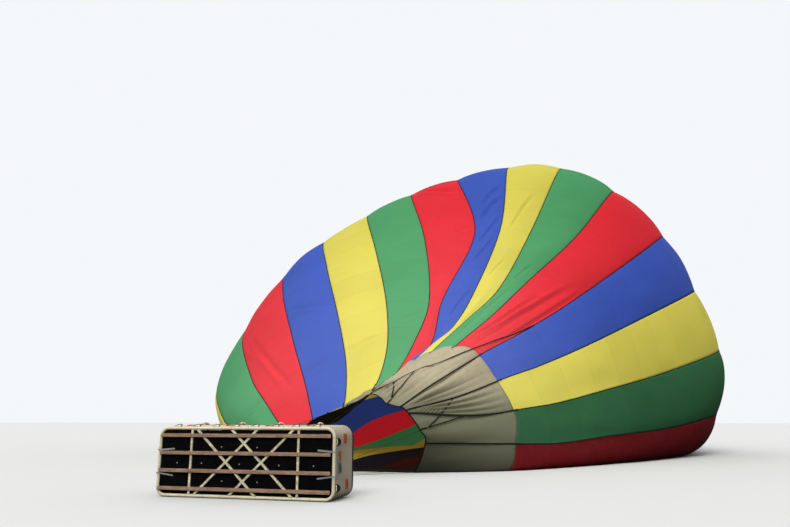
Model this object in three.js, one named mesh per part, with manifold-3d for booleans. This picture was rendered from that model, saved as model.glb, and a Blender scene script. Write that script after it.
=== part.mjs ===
// Ride balloon being inflated: a 24-gore envelope lies on the ground, half full of cold air, with its
// mouth towards a long wicker basket that has been tipped onto its side. Millimetres, +Z up.
// Working frame while building: X along the basket, Y from the basket's underside towards the crown
// of the envelope, Z up, ground at Z = 0. The whole group is moved at the end.
import * as THREE from "three";
import Module from "manifold-3d";

const wasm = await Module();
wasm.setup();
const { Manifold, Mesh: ManifoldMesh } = wasm;

// Driving dimensions.
const GORES = 24;
const FABRIC = 10;
const GAP = 0.3;
const BASKET_L = 4500;
const BASKET_W = 1600;
const BASKET_CORNER = 230;
const ROLL_R = 40;
const WALL_T = 45;
const WALL_TOP = 1100;
const RIM_R = 60;
const VENT_R = 3200;
const VENT_CENTRE = [0, 37000, 5300];
const VENT_TURN = 205;

// Load tapes that shape the envelope, in metres: one row of [x, y, z] for each station.
// Stations: mouth, tan edge, throat, front, shoulder, widest, back, tail, vent edge.
const TAPES = [
  { gore: 0, run: [[-1.6, 8.8, 0], [-4.4, 11.6, 0], [-6, 13.4, 0], [-7.6, 15.4, 0],
    [-9.6, 19.6, 0], [-10.6, 24, 0], [-10.2, 28.8, 0.6], [-7.8, 33.2, 3.2]] },
  { gore: 1, run: [[-2.4, 8.2, 0.9], [-5.2, 11.3, 1.2], [-7, 13, 1.4], [-9, 15, 1.7],
    [-12.1, 19.5, 3.4], [-13.1, 24, 4.2], [-11.9, 29, 4.8], [-8, 33.6, 5.6]] },
  { gore: 3, run: [[-1.6, 7.9, 1.7], [-2.8, 11, 1.7], [-3.8, 12.5, 3.2], [-5.2, 14.2, 5.3],
    [-7.6, 18, 8.3], [-9.5, 22.5, 10.5], [-9.7, 27.5, 10.9], [-6.6, 33, 9.1]] },
  { gore: 5, run: [[-0.2, 7.6, 2.2], [-0.1, 10.6, 3], [-0.1, 12.3, 4.7], [-0.7, 14.2, 7],
    [-2.3, 17.7, 10.4], [-4.1, 21.8, 13.6], [-4.9, 27, 14.6], [-3.6, 32.8, 12.4]] },
  { gore: 6, run: [[0.3, 7.5, 2.4], [0.6, 10.8, 3.4], [1, 12.4, 4.8], [1.3, 14.2, 6.9],
    [0.3, 17.8, 10.9], [-1.4, 21.9, 14.7], [-2, 27.2, 15.6], [-1.5, 33, 13.2]] },
  { gore: 7, run: [[0.7, 7.5, 2.6], [0.9, 11, 3.7], [1.7, 12.6, 4.8], [1.9, 14.2, 6.9],
    [2.9, 18, 11.1], [1.4, 22, 15.4], [1, 27.5, 16.2], [0.8, 33.2, 13.4]] },
  { gore: 8, run: [[1, 7.6, 2.5], [1.4, 11.3, 4.1], [2.4, 12.9, 5.3], [3.2, 14.7, 7.2],
    [4.2, 18.2, 11.3], [4.3, 22.1, 15.9], [4.2, 27.7, 16.6], [3, 33.2, 13.5]] },
  { gore: 9, run: [[1.2, 7.6, 2.3], [2, 11.5, 4.4], [3, 13.4, 5.8], [4.3, 15.2, 7.5],
    [5.7, 18.5, 11.1], [7.2, 22.3, 15.6], [7.2, 27.8, 16.3], [5, 33.2, 13]] },
  { gore: 10, run: [[1.5, 7.7, 2.2], [2.9, 11.7, 4.6], [4.1, 13.6, 6], [5.4, 15.6, 7.7],
    [7.8, 19.1, 10.7], [10, 23.2, 14.3], [9.9, 28.2, 14.7], [6.9, 33.2, 11.9]] },
  { gore: 11, run: [[1.8, 7.8, 2.1], [3.8, 11.8, 4.2], [5.3, 13.8, 5.3], [7, 15.8, 6.6],
    [10, 19.6, 9.2], [12.5, 24, 11.7], [12.2, 28.5, 12.2], [8.5, 33.2, 10.3]] },
  { gore: 13, run: [[2.3, 8, 1.4], [5.1, 11.6, 2.1], [6.6, 13.4, 2.4], [8.3, 15.4, 2.9],
    [11.4, 19.3, 3.9], [14.6, 24, 5.2], [14.9, 28.8, 5.8], [10.9, 33.4, 5.8]] },
  { gore: 14, run: [[2.4, 8.3, 1], [5.2, 10.9, 0.9], [6.8, 12.6, 0.9], [8.5, 14.8, 1.1],
    [11.4, 18.9, 1.4], [14.2, 23.8, 2], [14.3, 28.7, 2.3], [10.2, 33.3, 2.9]] },
  { gore: 15, run: [[1.9, 8.6, 0], [4.9, 10.2, 0], [6.4, 12, 0], [7.9, 14.2, 0],
    [10.4, 18.5, 0], [12.5, 23.5, 0], [12.4, 28.5, 0], [8.6, 33.2, 0.5]] },
];
// Gore colours repeat round the envelope.
const COLOURS = ["yellow", "green", "red", "blue"];
const PAINT = { yellow: 0xe8d21e, green: 0x0f9a4a, red: 0xd8101e, blue: 0x2146b4 };

// Small helpers.
const V = (x, y, z) => new THREE.Vector3(x, y, z);
const lerp = (a, b, t) => a + (b - a) * t;

function cubic(keys, values, at) {
  let i = 0;
  while (i < keys.length - 2 && at > keys[i + 1]) i += 1;
  const h = keys[i + 1] - keys[i];
  const t = (at - keys[i]) / h;
  const slope = (j) => {
    const lo = Math.max(j - 1, 0);
    const hi = Math.min(j + 1, keys.length - 1);
    return (values[hi] - values[lo]) / (keys[hi] - keys[lo]);
  };
  const m0 = slope(i) * h;
  const m1 = slope(i + 1) * h;
  const t2 = t * t;
  const t3 = t2 * t;
  return (2 * t3 - 3 * t2 + 1) * values[i] + (t3 - 2 * t2 + t) * m0
    + (3 * t2 - 2 * t3) * values[i + 1] + (t3 - t2) * m1;
}

function solidFrom(points, faces) {
  const g = new THREE.BufferGeometry();
  g.setAttribute("position", new THREE.Float32BufferAttribute(points.flat(), 3));
  g.setIndex(faces.flat());
  return g;
}

function toManifold(geometry) {
  const mesh = new ManifoldMesh({
    numProp: 3,
    vertProperties: Float32Array.from(geometry.attributes.position.array),
    triVerts: Uint32Array.from(geometry.index.array),
  });
  mesh.merge();
  return new Manifold(mesh);
}

function fromManifold(body) {
  const mesh = body.getMesh();
  const g = new THREE.BufferGeometry();
  const points = new Float32Array(mesh.numVert * 3);
  for (let i = 0; i < mesh.numVert; i += 1) {
    for (let k = 0; k < 3; k += 1) points[i * 3 + k] = mesh.vertProperties[i * mesh.numProp + k];
  }
  g.setAttribute("position", new THREE.BufferAttribute(points, 3));
  g.setIndex(Array.from(mesh.triVerts));
  return g;
}

function box(x0, x1, y0, y1, z0, z1) {
  const cube = Manifold.cube([x1 - x0, y1 - y0, z1 - z0], false);
  return cube.translate([x0, y0, z0]);
}

// A round bar from a to b.
function bar(a, b, radius, sides) {
  const from = V(...a);
  const to = V(...b);
  const axis = to.clone().sub(from);
  const turn = new THREE.Quaternion().setFromUnitVectors(V(0, 0, 1), axis.clone().normalize());
  const matrix = new THREE.Matrix4().compose(from, turn, V(1, 1, 1));
  const rod = Manifold.cylinder(axis.length(), radius, radius, sides, false);
  return rod.transform(matrix.elements);
}

// Outline of a rounded rectangle in X and Z, counted round its centre line.
function rounded(length, width, corner, perCorner) {
  const out = [];
  const cx = length / 2 - corner;
  const cz = width / 2 - corner;
  const turns = [[cx, cz, 0], [-cx, cz, 90], [-cx, -cz, 180], [cx, -cz, 270]];
  for (const [x, z, start] of turns) {
    for (let i = 0; i <= perCorner; i += 1) {
      const a = THREE.MathUtils.degToRad(start + (90 * i) / perCorner);
      out.push([x + corner * Math.cos(a), z + corner * Math.sin(a), Math.cos(a), Math.sin(a)]);
    }
  }
  return out;
}

// A roll of eight-sided section, radius measured to its flats, round a rounded rectangle.
function roll(length, width, corner, y, flat, midZ) {
  const sides = 8;
  const radius = flat / Math.cos(Math.PI / sides);
  const path = rounded(length, width, corner, 5);
  const points = [];
  const faces = [];
  for (const [x, z, nx, nz] of path) {
    for (let j = 0; j < sides; j += 1) {
      const a = (2 * Math.PI * (j + 0.5)) / sides;
      const out = radius * Math.cos(a);
      points.push([x + nx * out, y + radius * Math.sin(a), midZ + z + nz * out]);
    }
  }
  const n = path.length;
  for (let i = 0; i < n; i += 1) {
    for (let j = 0; j < sides; j += 1) {
      const a = i * sides + j;
      const b = i * sides + ((j + 1) % sides);
      const c = ((i + 1) % n) * sides + j;
      const d = ((i + 1) % n) * sides + ((j + 1) % sides);
      faces.push([a, b, c], [b, d, c]);
    }
  }
  return solidFrom(points, faces);
}

// A board or a tube that follows a rounded rectangle from y0 to y1.
function slab(length, width, corner, y0, y1) {
  const outline = rounded(length, width, corner, 5).map(([x, z]) => [x, -z]);
  const section = new wasm.CrossSection([outline], "NonZero");
  const body = Manifold.extrude(section, y1 - y0);
  return body.rotate([-90, 0, 0]).translate([0, y0, BASKET_W / 2]);
}

// Envelope surface.
const STATIONS = [0, 0.11, 0.18, 0.26, 0.4, 0.55, 0.7, 0.85, 1];
const TAN_EDGE = STATIONS[1];

function ventPoint(gore) {
  const a = THREE.MathUtils.degToRad(VENT_TURN - (360 / GORES) * gore);
  return [VENT_CENTRE[0] + VENT_R * Math.cos(a), VENT_CENTRE[1], VENT_CENTRE[2] + VENT_R * Math.sin(a)];
}

const guides = TAPES.map(({ gore, run }) => ({
  gore,
  run: [...run.map((p) => p.map((v) => v * 1000)), ventPoint(gore)],
}));
// Two more tapes lie on the ground between the edges of the fabric that touches it.
// The upper cloth of the left side is heavier, so the tapes below it lie further left.
for (const [gore, share] of [[18, 0.4], [21, 0.78]]) {
  const right = guides.find((g) => g.gore === 15).run;
  const left = guides.find((g) => g.gore === 0).run;
  const run = right.map((p, i) => p.map((v, k) => lerp(v, left[i][k], share)));
  for (const p of run.slice(6, 8)) p[2] = 0;
  run[8] = ventPoint(gore);
  guides.push({ gore, run });
}
guides.push({ gore: 24, run: guides[0].run });
guides.sort((a, b) => a.gore - b.gore);
// One guide more at each end closes the ring smoothly.
const ringOfGuides = [
  { gore: -3, run: guides.find((g) => g.gore === 21).run },
  ...guides,
  { gore: 25, run: guides.find((g) => g.gore === 1).run },
];

// How far the cloth bulges between two tapes, less on the slack gores of the upper left side.
const SCALLOP = 230;
const SLACK_SCALLOP = 140;
const SLACK_GORES = [2, 7];
// Below this height the bulge dies away towards the ground.
const FULL_BULGE_Z = 1500;
// Cloth of the upper left side hangs slack just inside the mouth.
const DROOP = 450;
const DROOP_GORE = 3.2;
const DROOP_REACH = 2.6;

function onTape(guide, s) {
  return [0, 1, 2].map((k) => cubic(STATIONS, guide.run.map((p) => p[k]), s));
}

function surface(s, gore) {
  const keys = ringOfGuides.map((g) => g.gore);
  const points = ringOfGuides.map((g) => onTape(g, s));
  const p = [0, 1, 2].map((k) => cubic(keys, points.map((q) => q[k]), gore));
  p[2] = Math.max(p[2], 0);
  return V(...p);
}

function outward(s, gore) {
  const e = 0.004;
  const along = surface(Math.min(s + e, 1), gore).sub(surface(Math.max(s - e, 0), gore));
  const across = surface(s, gore + 0.1).sub(surface(s, gore - 0.1));
  return across.cross(along).normalize();
}

function droop(s, gore) {
  const reach = Math.abs(gore - DROOP_GORE) / DROOP_REACH;
  if (s >= TAN_EDGE || reach >= 1) return 0;
  return DROOP * Math.sin((Math.PI * s) / TAN_EDGE) * 0.5 * (1 + Math.cos(Math.PI * reach));
}

// Point on the bulged fabric between two load tapes.
function fabric(s, gore) {
  const base = surface(s, gore);
  const share = gore - Math.floor(gore);
  const full = Math.max(0, Math.sin(Math.PI * lerp(0.02, 1, s)));
  const cut = Math.floor(gore) + 1;
  const slack = cut >= SLACK_GORES[0] && cut <= SLACK_GORES[1];
  const bulge = (slack ? SLACK_SCALLOP : SCALLOP) * full * 4 * share * (1 - share);
  const up = Math.min(1, base.z / FULL_BULGE_Z);
  base.addScaledVector(outward(s, gore), bulge * up);
  base.z = Math.max(base.z - droop(s, gore), 0);
  return base;
}

// Closed shell over a patch of the envelope, its inner face one fabric thickness inside.
function patch(s0, s1, rows, g0, g1, columns, ringClosed) {
  const outer = [];
  const inner = [];
  const sides = ringClosed ? columns : columns + 1;
  for (let i = 0; i <= rows; i += 1) {
    const s = lerp(s0, s1, i / rows);
    for (let j = 0; j < sides; j += 1) {
      const gore = lerp(g0, g1, j / columns);
      const p = fabric(s, gore);
      const n = outward(s, gore);
      if (p.z < 1) n.set(0, 0, -1);
      if (!ringClosed && (j === 0 || j === columns)) {
        const side = surface(s, gore + 0.1).sub(surface(s, gore - 0.1)).normalize();
        p.addScaledVector(side, j === 0 ? GAP / 2 : -GAP / 2);
      }
      outer.push(p.toArray());
      inner.push(p.clone().addScaledVector(n, -FABRIC).toArray());
    }
  }
  const count = outer.length;
  const faces = [];
  const quad = (a, b, c, d) => faces.push([a, b, c], [a, c, d]);
  const at = (i, j) => i * sides + (j % sides);
  for (let i = 0; i < rows; i += 1) {
    for (let j = 0; j < columns; j += 1) {
      quad(at(i, j), at(i, j + 1), at(i + 1, j + 1), at(i + 1, j));
      quad(count + at(i, j), count + at(i + 1, j), count + at(i + 1, j + 1), count + at(i, j + 1));
    }
  }
  for (let j = 0; j < columns; j += 1) {
    quad(at(0, j), count + at(0, j), count + at(0, j + 1), at(0, j + 1));
    quad(at(rows, j), at(rows, j + 1), count + at(rows, j + 1), count + at(rows, j));
  }
  if (!ringClosed) {
    for (let i = 0; i < rows; i += 1) {
      quad(at(i, 0), at(i + 1, 0), count + at(i + 1, 0), count + at(i, 0));
      quad(at(i, columns), count + at(i, columns), count + at(i + 1, columns), at(i + 1, columns));
    }
  }
  return solidFrom([...outer, ...inner], faces);
}

// The balloon's nodes.
const group = new THREE.Group();

function add(name, geometry, colour, roughness, metalness) {
  const material = new THREE.MeshStandardMaterial({ color: colour, roughness, metalness });
  const mesh = new THREE.Mesh(geometry, material);
  mesh.name = name;
  group.add(mesh);
  return mesh;
}

const TAPE_LENGTH = 38000;
const EDGE = GAP / 2 / TAPE_LENGTH;
const GORE_ROWS = 15;
const GORE_COLUMNS = 3;
const TAN_ROWS = 4;
for (let k = 0; k < GORES; k += 1) {
  const colour = COLOURS[k % 4];
  const name = `gore_${String(k + 1).padStart(2, "0")}_${colour}`;
  add(name, patch(TAN_EDGE + 2 * EDGE, 1, GORE_ROWS, k, k + 1, GORE_COLUMNS, false), PAINT[colour], 0.55, 0);
}
const tanMouth = patch(0, TAN_EDGE - 2 * EDGE, TAN_ROWS, 0, GORES, GORES * GORE_COLUMNS, true);
add("tan_mouth_panels", tanMouth, 0xb3a98f, 0.8, 0);

// Parachute valve: a shallow dome of fabric that lies against the gores from inside.
{
  const DOME_RISE = 520;
  const VALVE_CLEAR = 1;
  const VALVE_HANG = 12;
  const rings = 5;
  const columns = GORES;
  const faces = [];
  // The edge lies on the inner face of the last row of each gore.
  const rowBefore = 1 - (1 - TAN_EDGE) / GORE_ROWS;
  const edgeOf = (gore) => {
    const [a, b] = [rowBefore, 1].map((s) => surface(s, gore).addScaledVector(outward(s, gore), -FABRIC));
    // It bears on the upper gores and hangs a little clear of those that rise off the ground.
    const clear = gore < 15 ? VALVE_CLEAR : VALVE_HANG;
    return a.lerp(b, 0.75).addScaledVector(outward(0.985, gore), -clear);
  };
  const edges = Array.from({ length: GORES }, (_, k) => edgeOf(k));
  const skins = [0, -FABRIC].map((depth) => {
    const points = [];
    for (let i = 1; i <= rings; i += 1) {
      const t = i / rings;
      for (let j = 0; j < columns; j += 1) {
        const edge = edges[j];
        const y = edge.y + DOME_RISE * (1 - t * t) ** 2 + depth;
        points.push([lerp(VENT_CENTRE[0], edge.x, t), y, lerp(VENT_CENTRE[2], edge.z, t)]);
      }
    }
    points.push([VENT_CENTRE[0], edges[8].y + DOME_RISE + depth, VENT_CENTRE[2]]);
    return points;
  });
  const count = skins[0].length;
  const at = (i, j) => i * columns + (j % columns);
  for (let j = 0; j < columns; j += 1) {
    for (let i = 0; i < rings - 1; i += 1) {
      faces.push([at(i, j), at(i + 1, j), at(i + 1, j + 1)], [at(i, j), at(i + 1, j + 1), at(i, j + 1)]);
      const [p, q, r, s] = [at(i, j), at(i + 1, j), at(i + 1, j + 1), at(i, j + 1)].map((v) => v + count);
      faces.push([p, r, q], [p, s, r]);
    }
    const rim0 = at(rings - 1, j);
    const rim1 = at(rings - 1, j + 1);
    faces.push([rim0, count + rim1, rim1], [rim0, count + rim0, count + rim1]);
    faces.push([count - 1, at(0, j), at(0, j + 1)]);
    faces.push([2 * count - 1, count + at(0, j + 1), count + at(0, j)]);
  }
  add("parachute_valve", solidFrom([...skins[0], ...skins[1]], faces), PAINT.yellow, 0.55, 0);
}

// Crown ring and the load tapes that cross the vent to it.
const CROWN_R = 150;
const CROWN_RISE = 480;
const CROWN_WIRE_R = 14;
const VENT_TAPE_R = 8;
const CROWN_Y = VENT_CENTRE[1] + CROWN_RISE;
let crown = toManifold(new THREE.TorusGeometry(CROWN_R, CROWN_WIRE_R, 6, 24));
crown = crown.rotate([90, 0, 0]).translate([VENT_CENTRE[0], CROWN_Y, VENT_CENTRE[2]]);
for (let k = 0; k < GORES; k += 1) {
  const end = V(...ventPoint(k));
  const centre = V(...VENT_CENTRE);
  const ray = end.clone().sub(centre).normalize();
  const from = centre.clone().addScaledVector(ray, CROWN_R - 4);
  from.y = CROWN_Y;
  const to = centre.clone().addScaledVector(ray, VENT_R - 6);
  to.y = VENT_CENTRE[1] + 4;
  crown = crown.add(bar(from.toArray(), to.toArray(), VENT_TAPE_R, 4));
}
crown = crown.trimByPlane([0, 1, 0], VENT_CENTRE[1] + GAP);
add("crown_ring_and_vent_tapes", fromManifold(crown), 0x2a2a2a, 0.6, 0.2);

// Basket.
const RUNNER_T = 32;
const ROLL_Y = RUNNER_T + GAP + ROLL_R;
const bottomRoll = roll(
  BASKET_L - 2 * ROLL_R,
  BASKET_W - 2 * ROLL_R,
  BASKET_CORNER - ROLL_R,
  ROLL_Y,
  ROLL_R,
  BASKET_W / 2,
);
add("cane_border_roll", bottomRoll, 0xcdb48a, 0.7, 0);

const inset = 2 * ROLL_R + GAP;
const inRoll = [BASKET_L - 2 * inset, BASKET_W - 2 * inset, BASKET_CORNER - inset];
const BOARD_Y = [64, 84];
add("floor_board", fromManifold(slab(...inRoll, ...BOARD_Y)), 0x17140f, 0.6, 0);

// Runners on which the basket stands when upright, at heights above the ground as it lies.
const RUNNER_HALF = 42;
[200, 600, 1000, 1400].forEach((z, i) => {
  const half = BASKET_L / 2 - 15;
  const runner = box(-half, half, 0, RUNNER_T, z - RUNNER_HALF, z + RUNNER_HALF);
  const outline = slab(BASKET_L, BASKET_W, BASKET_CORNER, 0, RUNNER_T);
  add(`wooden_runner_${i + 1}`, fromManifold(runner.intersect(outline)), 0xa58a63, 0.7, 0);
});

// Slats between the runners and the floor board: x where each meets the top and bottom edge.
const SLATS = [
  { top: -1360, bottom: -1360 },
  { top: 1360, bottom: 1360 },
  { top: -1300, bottom: 400 },
  { top: -400, bottom: 1300 },
  { top: 400, bottom: -1300 },
  { top: 1300, bottom: -400 },
];
const SLAT_W = 50;
const SLAT_T = 31;
function slat({ top, bottom }) {
  const run = top - bottom;
  const length = Math.hypot(run, BASKET_W) + 200;
  const angle = THREE.MathUtils.radToDeg(Math.atan2(run, BASKET_W));
  return box(-SLAT_W / 2, SLAT_W / 2, 0, SLAT_T, -length / 2, length / 2)
    .rotate([0, angle, 0])
    .translate([(top + bottom) / 2, RUNNER_T + GAP, BASKET_W / 2])
    .intersect(slab(...inRoll, 0, BOARD_Y[1]));
}
add("cross_slat_left", fromManifold(slat(SLATS[0])), 0xd9c39a, 0.7, 0);
add("cross_slat_right", fromManifold(slat(SLATS[1])), 0xd9c39a, 0.7, 0);
const diagonals = Manifold.union(SLATS.slice(2).map(slat));
add("diagonal_slats", fromManifold(diagonals), 0xd9c39a, 0.7, 0);

// Woven walls: one tube, with D-shaped footholes near the floor of each long side and at the ends.
const wallFrom = ROLL_Y + ROLL_R + GAP;
const wallIn = BASKET_CORNER - WALL_T;
let walls = slab(BASKET_L, BASKET_W, BASKET_CORNER, wallFrom, WALL_TOP)
  .subtract(slab(BASKET_L - 2 * WALL_T, BASKET_W - 2 * WALL_T, wallIn, 0, WALL_TOP + 50));
const HOLE_W = 140;
const HOLE_H = 110;
const HOLE_Y = [300, 300 + HOLE_H];
for (const x of [-1350, -900, -450, 0, 450, 900, 1350]) {
  for (const z of [0, BASKET_W]) {
    walls = walls.subtract(box(x - HOLE_W / 2, x + HOLE_W / 2, ...HOLE_Y, z - 80, z + 80));
  }
}
for (const z of [480, 1120]) {
  for (const x of [-BASKET_L / 2, BASKET_L / 2]) {
    walls = walls.subtract(box(x - 80, x + 80, ...HOLE_Y, z - HOLE_W / 2, z + HOLE_W / 2));
  }
}
add("wicker_walls", fromManifold(walls), 0xc9a878, 0.8, 0);

// The thick padded rim stands proud of the walls above and at the ends, and lies on the ground below.
const RIM_LOW = RIM_R;
const RIM_HIGH = BASKET_W - WALL_T / 2;
const rim = roll(
  BASKET_L - WALL_T,
  RIM_HIGH - RIM_LOW,
  BASKET_CORNER - WALL_T / 2,
  WALL_TOP + GAP + RIM_R,
  RIM_R,
  (RIM_HIGH + RIM_LOW) / 2,
);
add("padded_rim", rim, 0x1b1a1a, 0.6, 0);

// Double-T partitions: two cross walls make the pilot's bay, each end is split lengthways.
const BAY = 620;
const PART_T = 40;
const inZ = [WALL_T + GAP, BASKET_W - WALL_T - GAP];
const partFrom = BOARD_Y[1] + GAP;
const PART_TOP = 1080;
let partitions = null;
for (const side of [-1, 1]) {
  const x = side * BAY;
  const cross = box(x - PART_T / 2, x + PART_T / 2, wallFrom + 1, PART_TOP, ...inZ);
  const far = side * (BASKET_L / 2 - WALL_T - GAP);
  const mid = BASKET_W / 2;
  const long = box(
    Math.min(x, far),
    Math.max(x, far),
    partFrom,
    PART_TOP,
    mid - PART_T / 2,
    mid + PART_T / 2,
  );
  add(
    side < 0 ? "partition_left" : "partition_right",
    fromManifold(cross.add(long.intersect(slab(BASKET_L, BASKET_W, BASKET_CORNER, wallFrom, 1200)))),
    0xc9a878,
    0.8,
    0,
  );
}

// Fuel cylinders strapped to the long walls of the pilot's bay.
const CYL_R = 150;
const CYL_L = 840;
const CYL_END = 60;
const COLLAR_R = 60;
const COLLAR_H = 70;
function cylinder() {
  const profile = [
    [0, 0], [CYL_R - CYL_END, 0], [CYL_R, CYL_END], [CYL_R, CYL_L - CYL_END], [CYL_R - CYL_END, CYL_L],
    [COLLAR_R, CYL_L], [COLLAR_R, CYL_L + COLLAR_H], [0, CYL_L + COLLAR_H],
  ].map(([r, y]) => new THREE.Vector2(r, y));
  return new THREE.LatheGeometry(profile, 16);
}
let cylinderCount = 0;
for (const x of [-400, 400]) {
  for (const z of [WALL_T + GAP + CYL_R, BASKET_W - WALL_T - GAP - CYL_R]) {
    cylinderCount += 1;
    const g = cylinder();
    g.translate(x, partFrom, z);
    add(`fuel_cylinder_${cylinderCount}`, g, 0x8f9296, 0.35, 0.8);
  }
}

// Burner frame and burners.
const FRAME_Y = 2200;
const FRAME_X = 700;
const FRAME_Z = 480;
const TUBE = 20;
const SOCKET_R = 30;
const SOCKET_DOWN = 90;
const SOCKET_UP = 40;
const BOSS = 28;
const midZ = BASKET_W / 2;
const corners = [[-1, 1], [1, 1], [1, -1], [-1, -1]];
const cornerAt = ([sx, sz]) => [sx * FRAME_X, FRAME_Y, midZ + sz * FRAME_Z];
let frame = null;
corners.forEach((corner, i) => {
  const a = cornerAt(corner);
  const b = cornerAt(corners[(i + 1) % 4]);
  const side = bar(a, b, TUBE, 12);
  frame = frame ? frame.add(side) : side;
  const socket = bar([a[0], a[1] - SOCKET_DOWN, a[2]], [a[0], a[1] + SOCKET_UP, a[2]], SOCKET_R, 12);
  frame = frame.add(socket);
});
const PIN_R = 12;
const PIN_PLAY = 1;
for (const side of [-1, 1]) {
  const x = side * FRAME_X;
  const y = [FRAME_Y - BOSS - 4, FRAME_Y + BOSS + 4];
  frame = frame.add(box(x - BOSS, x + BOSS, ...y, midZ - BOSS - 4, midZ + BOSS + 4));
  frame = frame.subtract(bar([x - 60, FRAME_Y, midZ], [x + 60, FRAME_Y, midZ], PIN_R + PIN_PLAY, 16));
}
add("burner_frame", fromManifold(frame), 0xb9bcc0, 0.3, 0.9);

// Each pole stands against the inside of a long wall and ends under its socket.
const POLE_R = 20;
const POLE_REACH = 18.9;
const POLE_FOOT = [740, 700, midZ - WALL_T - GAP - POLE_REACH];
corners.forEach((corner, i) => {
  const [x, y, z] = cornerAt(corner);
  const foot = [corner[0] * POLE_FOOT[0], POLE_FOOT[1], midZ + corner[1] * POLE_FOOT[2]];
  const whole = bar(foot, [x, y - SOCKET_DOWN + 10, z], POLE_R, 10);
  const pole = whole.trimByPlane([0, -1, 0], -(y - SOCKET_DOWN - GAP));
  add(`upright_pole_${i + 1}`, fromManifold(pole), 0x1d1d1f, 0.7, 0);
});

// Gimbal: the yoke tilts about X in the frame, the burners tilt about Z in the yoke.
const YOKE_X = 560;
const YOKE_Z = 380;
const YOKE_R = 15;
let yoke = null;
const yokeCorners = corners.map(([sx, sz]) => [sx * YOKE_X, FRAME_Y, midZ + sz * YOKE_Z]);
yokeCorners.forEach((a, i) => {
  const b = yokeCorners[(i + 1) % 4];
  const side = bar(a, b, YOKE_R, 10);
  yoke = yoke ? yoke.add(side) : side;
});
for (const side of [-1, 1]) {
  const pin = bar([side * YOKE_X, FRAME_Y, midZ], [side * (FRAME_X + 24), FRAME_Y, midZ], PIN_R, 16);
  yoke = yoke.add(pin);
}
for (const side of [-1, 1]) {
  const z = midZ + side * YOKE_Z;
  yoke = yoke.add(box(-BOSS - 2, BOSS + 2, FRAME_Y - BOSS, FRAME_Y + BOSS, z - 22, z + 22));
  yoke = yoke.subtract(bar([0, FRAME_Y, z - 50], [0, FRAME_Y, z + 50], PIN_R + PIN_PLAY, 16));
}

add("gimbal_yoke", fromManifold(yoke), 0xb9bcc0, 0.3, 0.9);

// Four open cans stand on one block.
const BLOCK_X = 470;
const BLOCK_Z = 280;
const CAN_X = 230;
const CAN_Z = 140;
const CAN_R = 130;
const CAN_BORE_R = 118;
const CAN_L = 330;
const CAN_FLOOR = 60;
let burners = box(-BLOCK_X, BLOCK_X, FRAME_Y - 45, FRAME_Y + 25, midZ - BLOCK_Z, midZ + BLOCK_Z);
for (const sx of [-1, 1]) {
  for (const sz of [-1, 1]) {
    const x = sx * CAN_X;
    const z = midZ + sz * CAN_Z;
    const can = bar([x, FRAME_Y, z], [x, FRAME_Y + CAN_L, z], CAN_R, 20);
    const bore = bar([x, FRAME_Y + CAN_FLOOR, z], [x, FRAME_Y + CAN_L + 70, z], CAN_BORE_R, 20);
    burners = burners.add(can).subtract(bore);
  }
}
for (const side of [-1, 1]) {
  const from = [0, FRAME_Y, midZ + side * (BLOCK_Z - 10)];
  const to = [0, FRAME_Y, midZ + side * (YOKE_Z + 18)];
  burners = burners.add(bar(from, to, PIN_R, 16));
}
add("burner_block", fromManifold(burners), 0xa9adb1, 0.35, 0.9);

// Flying wires: from each corner of the frame to three points of the mouth edge.
const WIRE_R = 5;
const WIRE_BACK = 3.5;
const SHACKLE_R = 16;
const WIRES = [
  { name: "upper_left", corner: 0, gores: [1, 3, 5] },
  { name: "upper_right", corner: 1, gores: [7, 9, 11] },
  { name: "lower_right", corner: 2, gores: [13, 15, 17] },
  { name: "lower_left", corner: 3, gores: [19, 21, 23] },
];
for (const { name, corner, gores } of WIRES) {
  const [x, y, z] = cornerAt(corners[corner]);
  const from = [x, y + SOCKET_UP + 22, z];
  let bundle = bar([x, y + SOCKET_UP + GAP, z], [x, y + SOCKET_UP + 45, z], SHACKLE_R, 8);
  for (const gore of gores) {
    const end = surface(0, gore);
    end.z = Math.max(end.z, 12);
    const back = V(...from).sub(end).normalize();
    end.addScaledVector(back, WIRE_BACK);
    bundle = bundle.add(bar(from, end.toArray(), WIRE_R, 6));
  }
  add(`flying_wires_${name}`, fromManifold(bundle), 0x3a3a3c, 0.5, 0.6);
}

// Place the group on its origin.
group.updateMatrixWorld(true);
const bounds = new THREE.Box3().setFromObject(group);
const centre = bounds.getCenter(V(0, 0, 0));
for (const mesh of group.children) {
  mesh.geometry.translate(-centre.x, -centre.y, -bounds.min.z);
}
export default group;
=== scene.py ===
import math
import bpy
import bmesh
import numpy as np
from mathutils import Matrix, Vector


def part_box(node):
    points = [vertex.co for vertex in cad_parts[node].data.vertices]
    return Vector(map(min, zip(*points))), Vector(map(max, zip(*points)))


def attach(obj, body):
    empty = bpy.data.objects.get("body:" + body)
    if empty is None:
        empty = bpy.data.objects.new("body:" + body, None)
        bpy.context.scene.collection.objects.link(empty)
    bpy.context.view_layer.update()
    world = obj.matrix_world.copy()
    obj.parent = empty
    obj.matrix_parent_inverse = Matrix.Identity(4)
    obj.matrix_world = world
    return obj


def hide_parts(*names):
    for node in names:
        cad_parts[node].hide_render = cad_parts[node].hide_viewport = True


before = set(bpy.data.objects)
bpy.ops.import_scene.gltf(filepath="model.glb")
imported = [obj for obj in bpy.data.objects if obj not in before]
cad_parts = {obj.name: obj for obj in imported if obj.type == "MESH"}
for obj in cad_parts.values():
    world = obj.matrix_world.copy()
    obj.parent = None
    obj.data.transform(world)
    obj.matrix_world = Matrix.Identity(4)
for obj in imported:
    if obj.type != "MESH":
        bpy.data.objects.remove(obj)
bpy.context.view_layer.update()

# The balloon is laid out on its own site: metres, x along the basket, y from the basket's
# underside towards the crown, z up. SITE is where that site's origin is in the row frame.
board_low, board_high = (np.array(corner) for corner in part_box("floor_board"))
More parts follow.
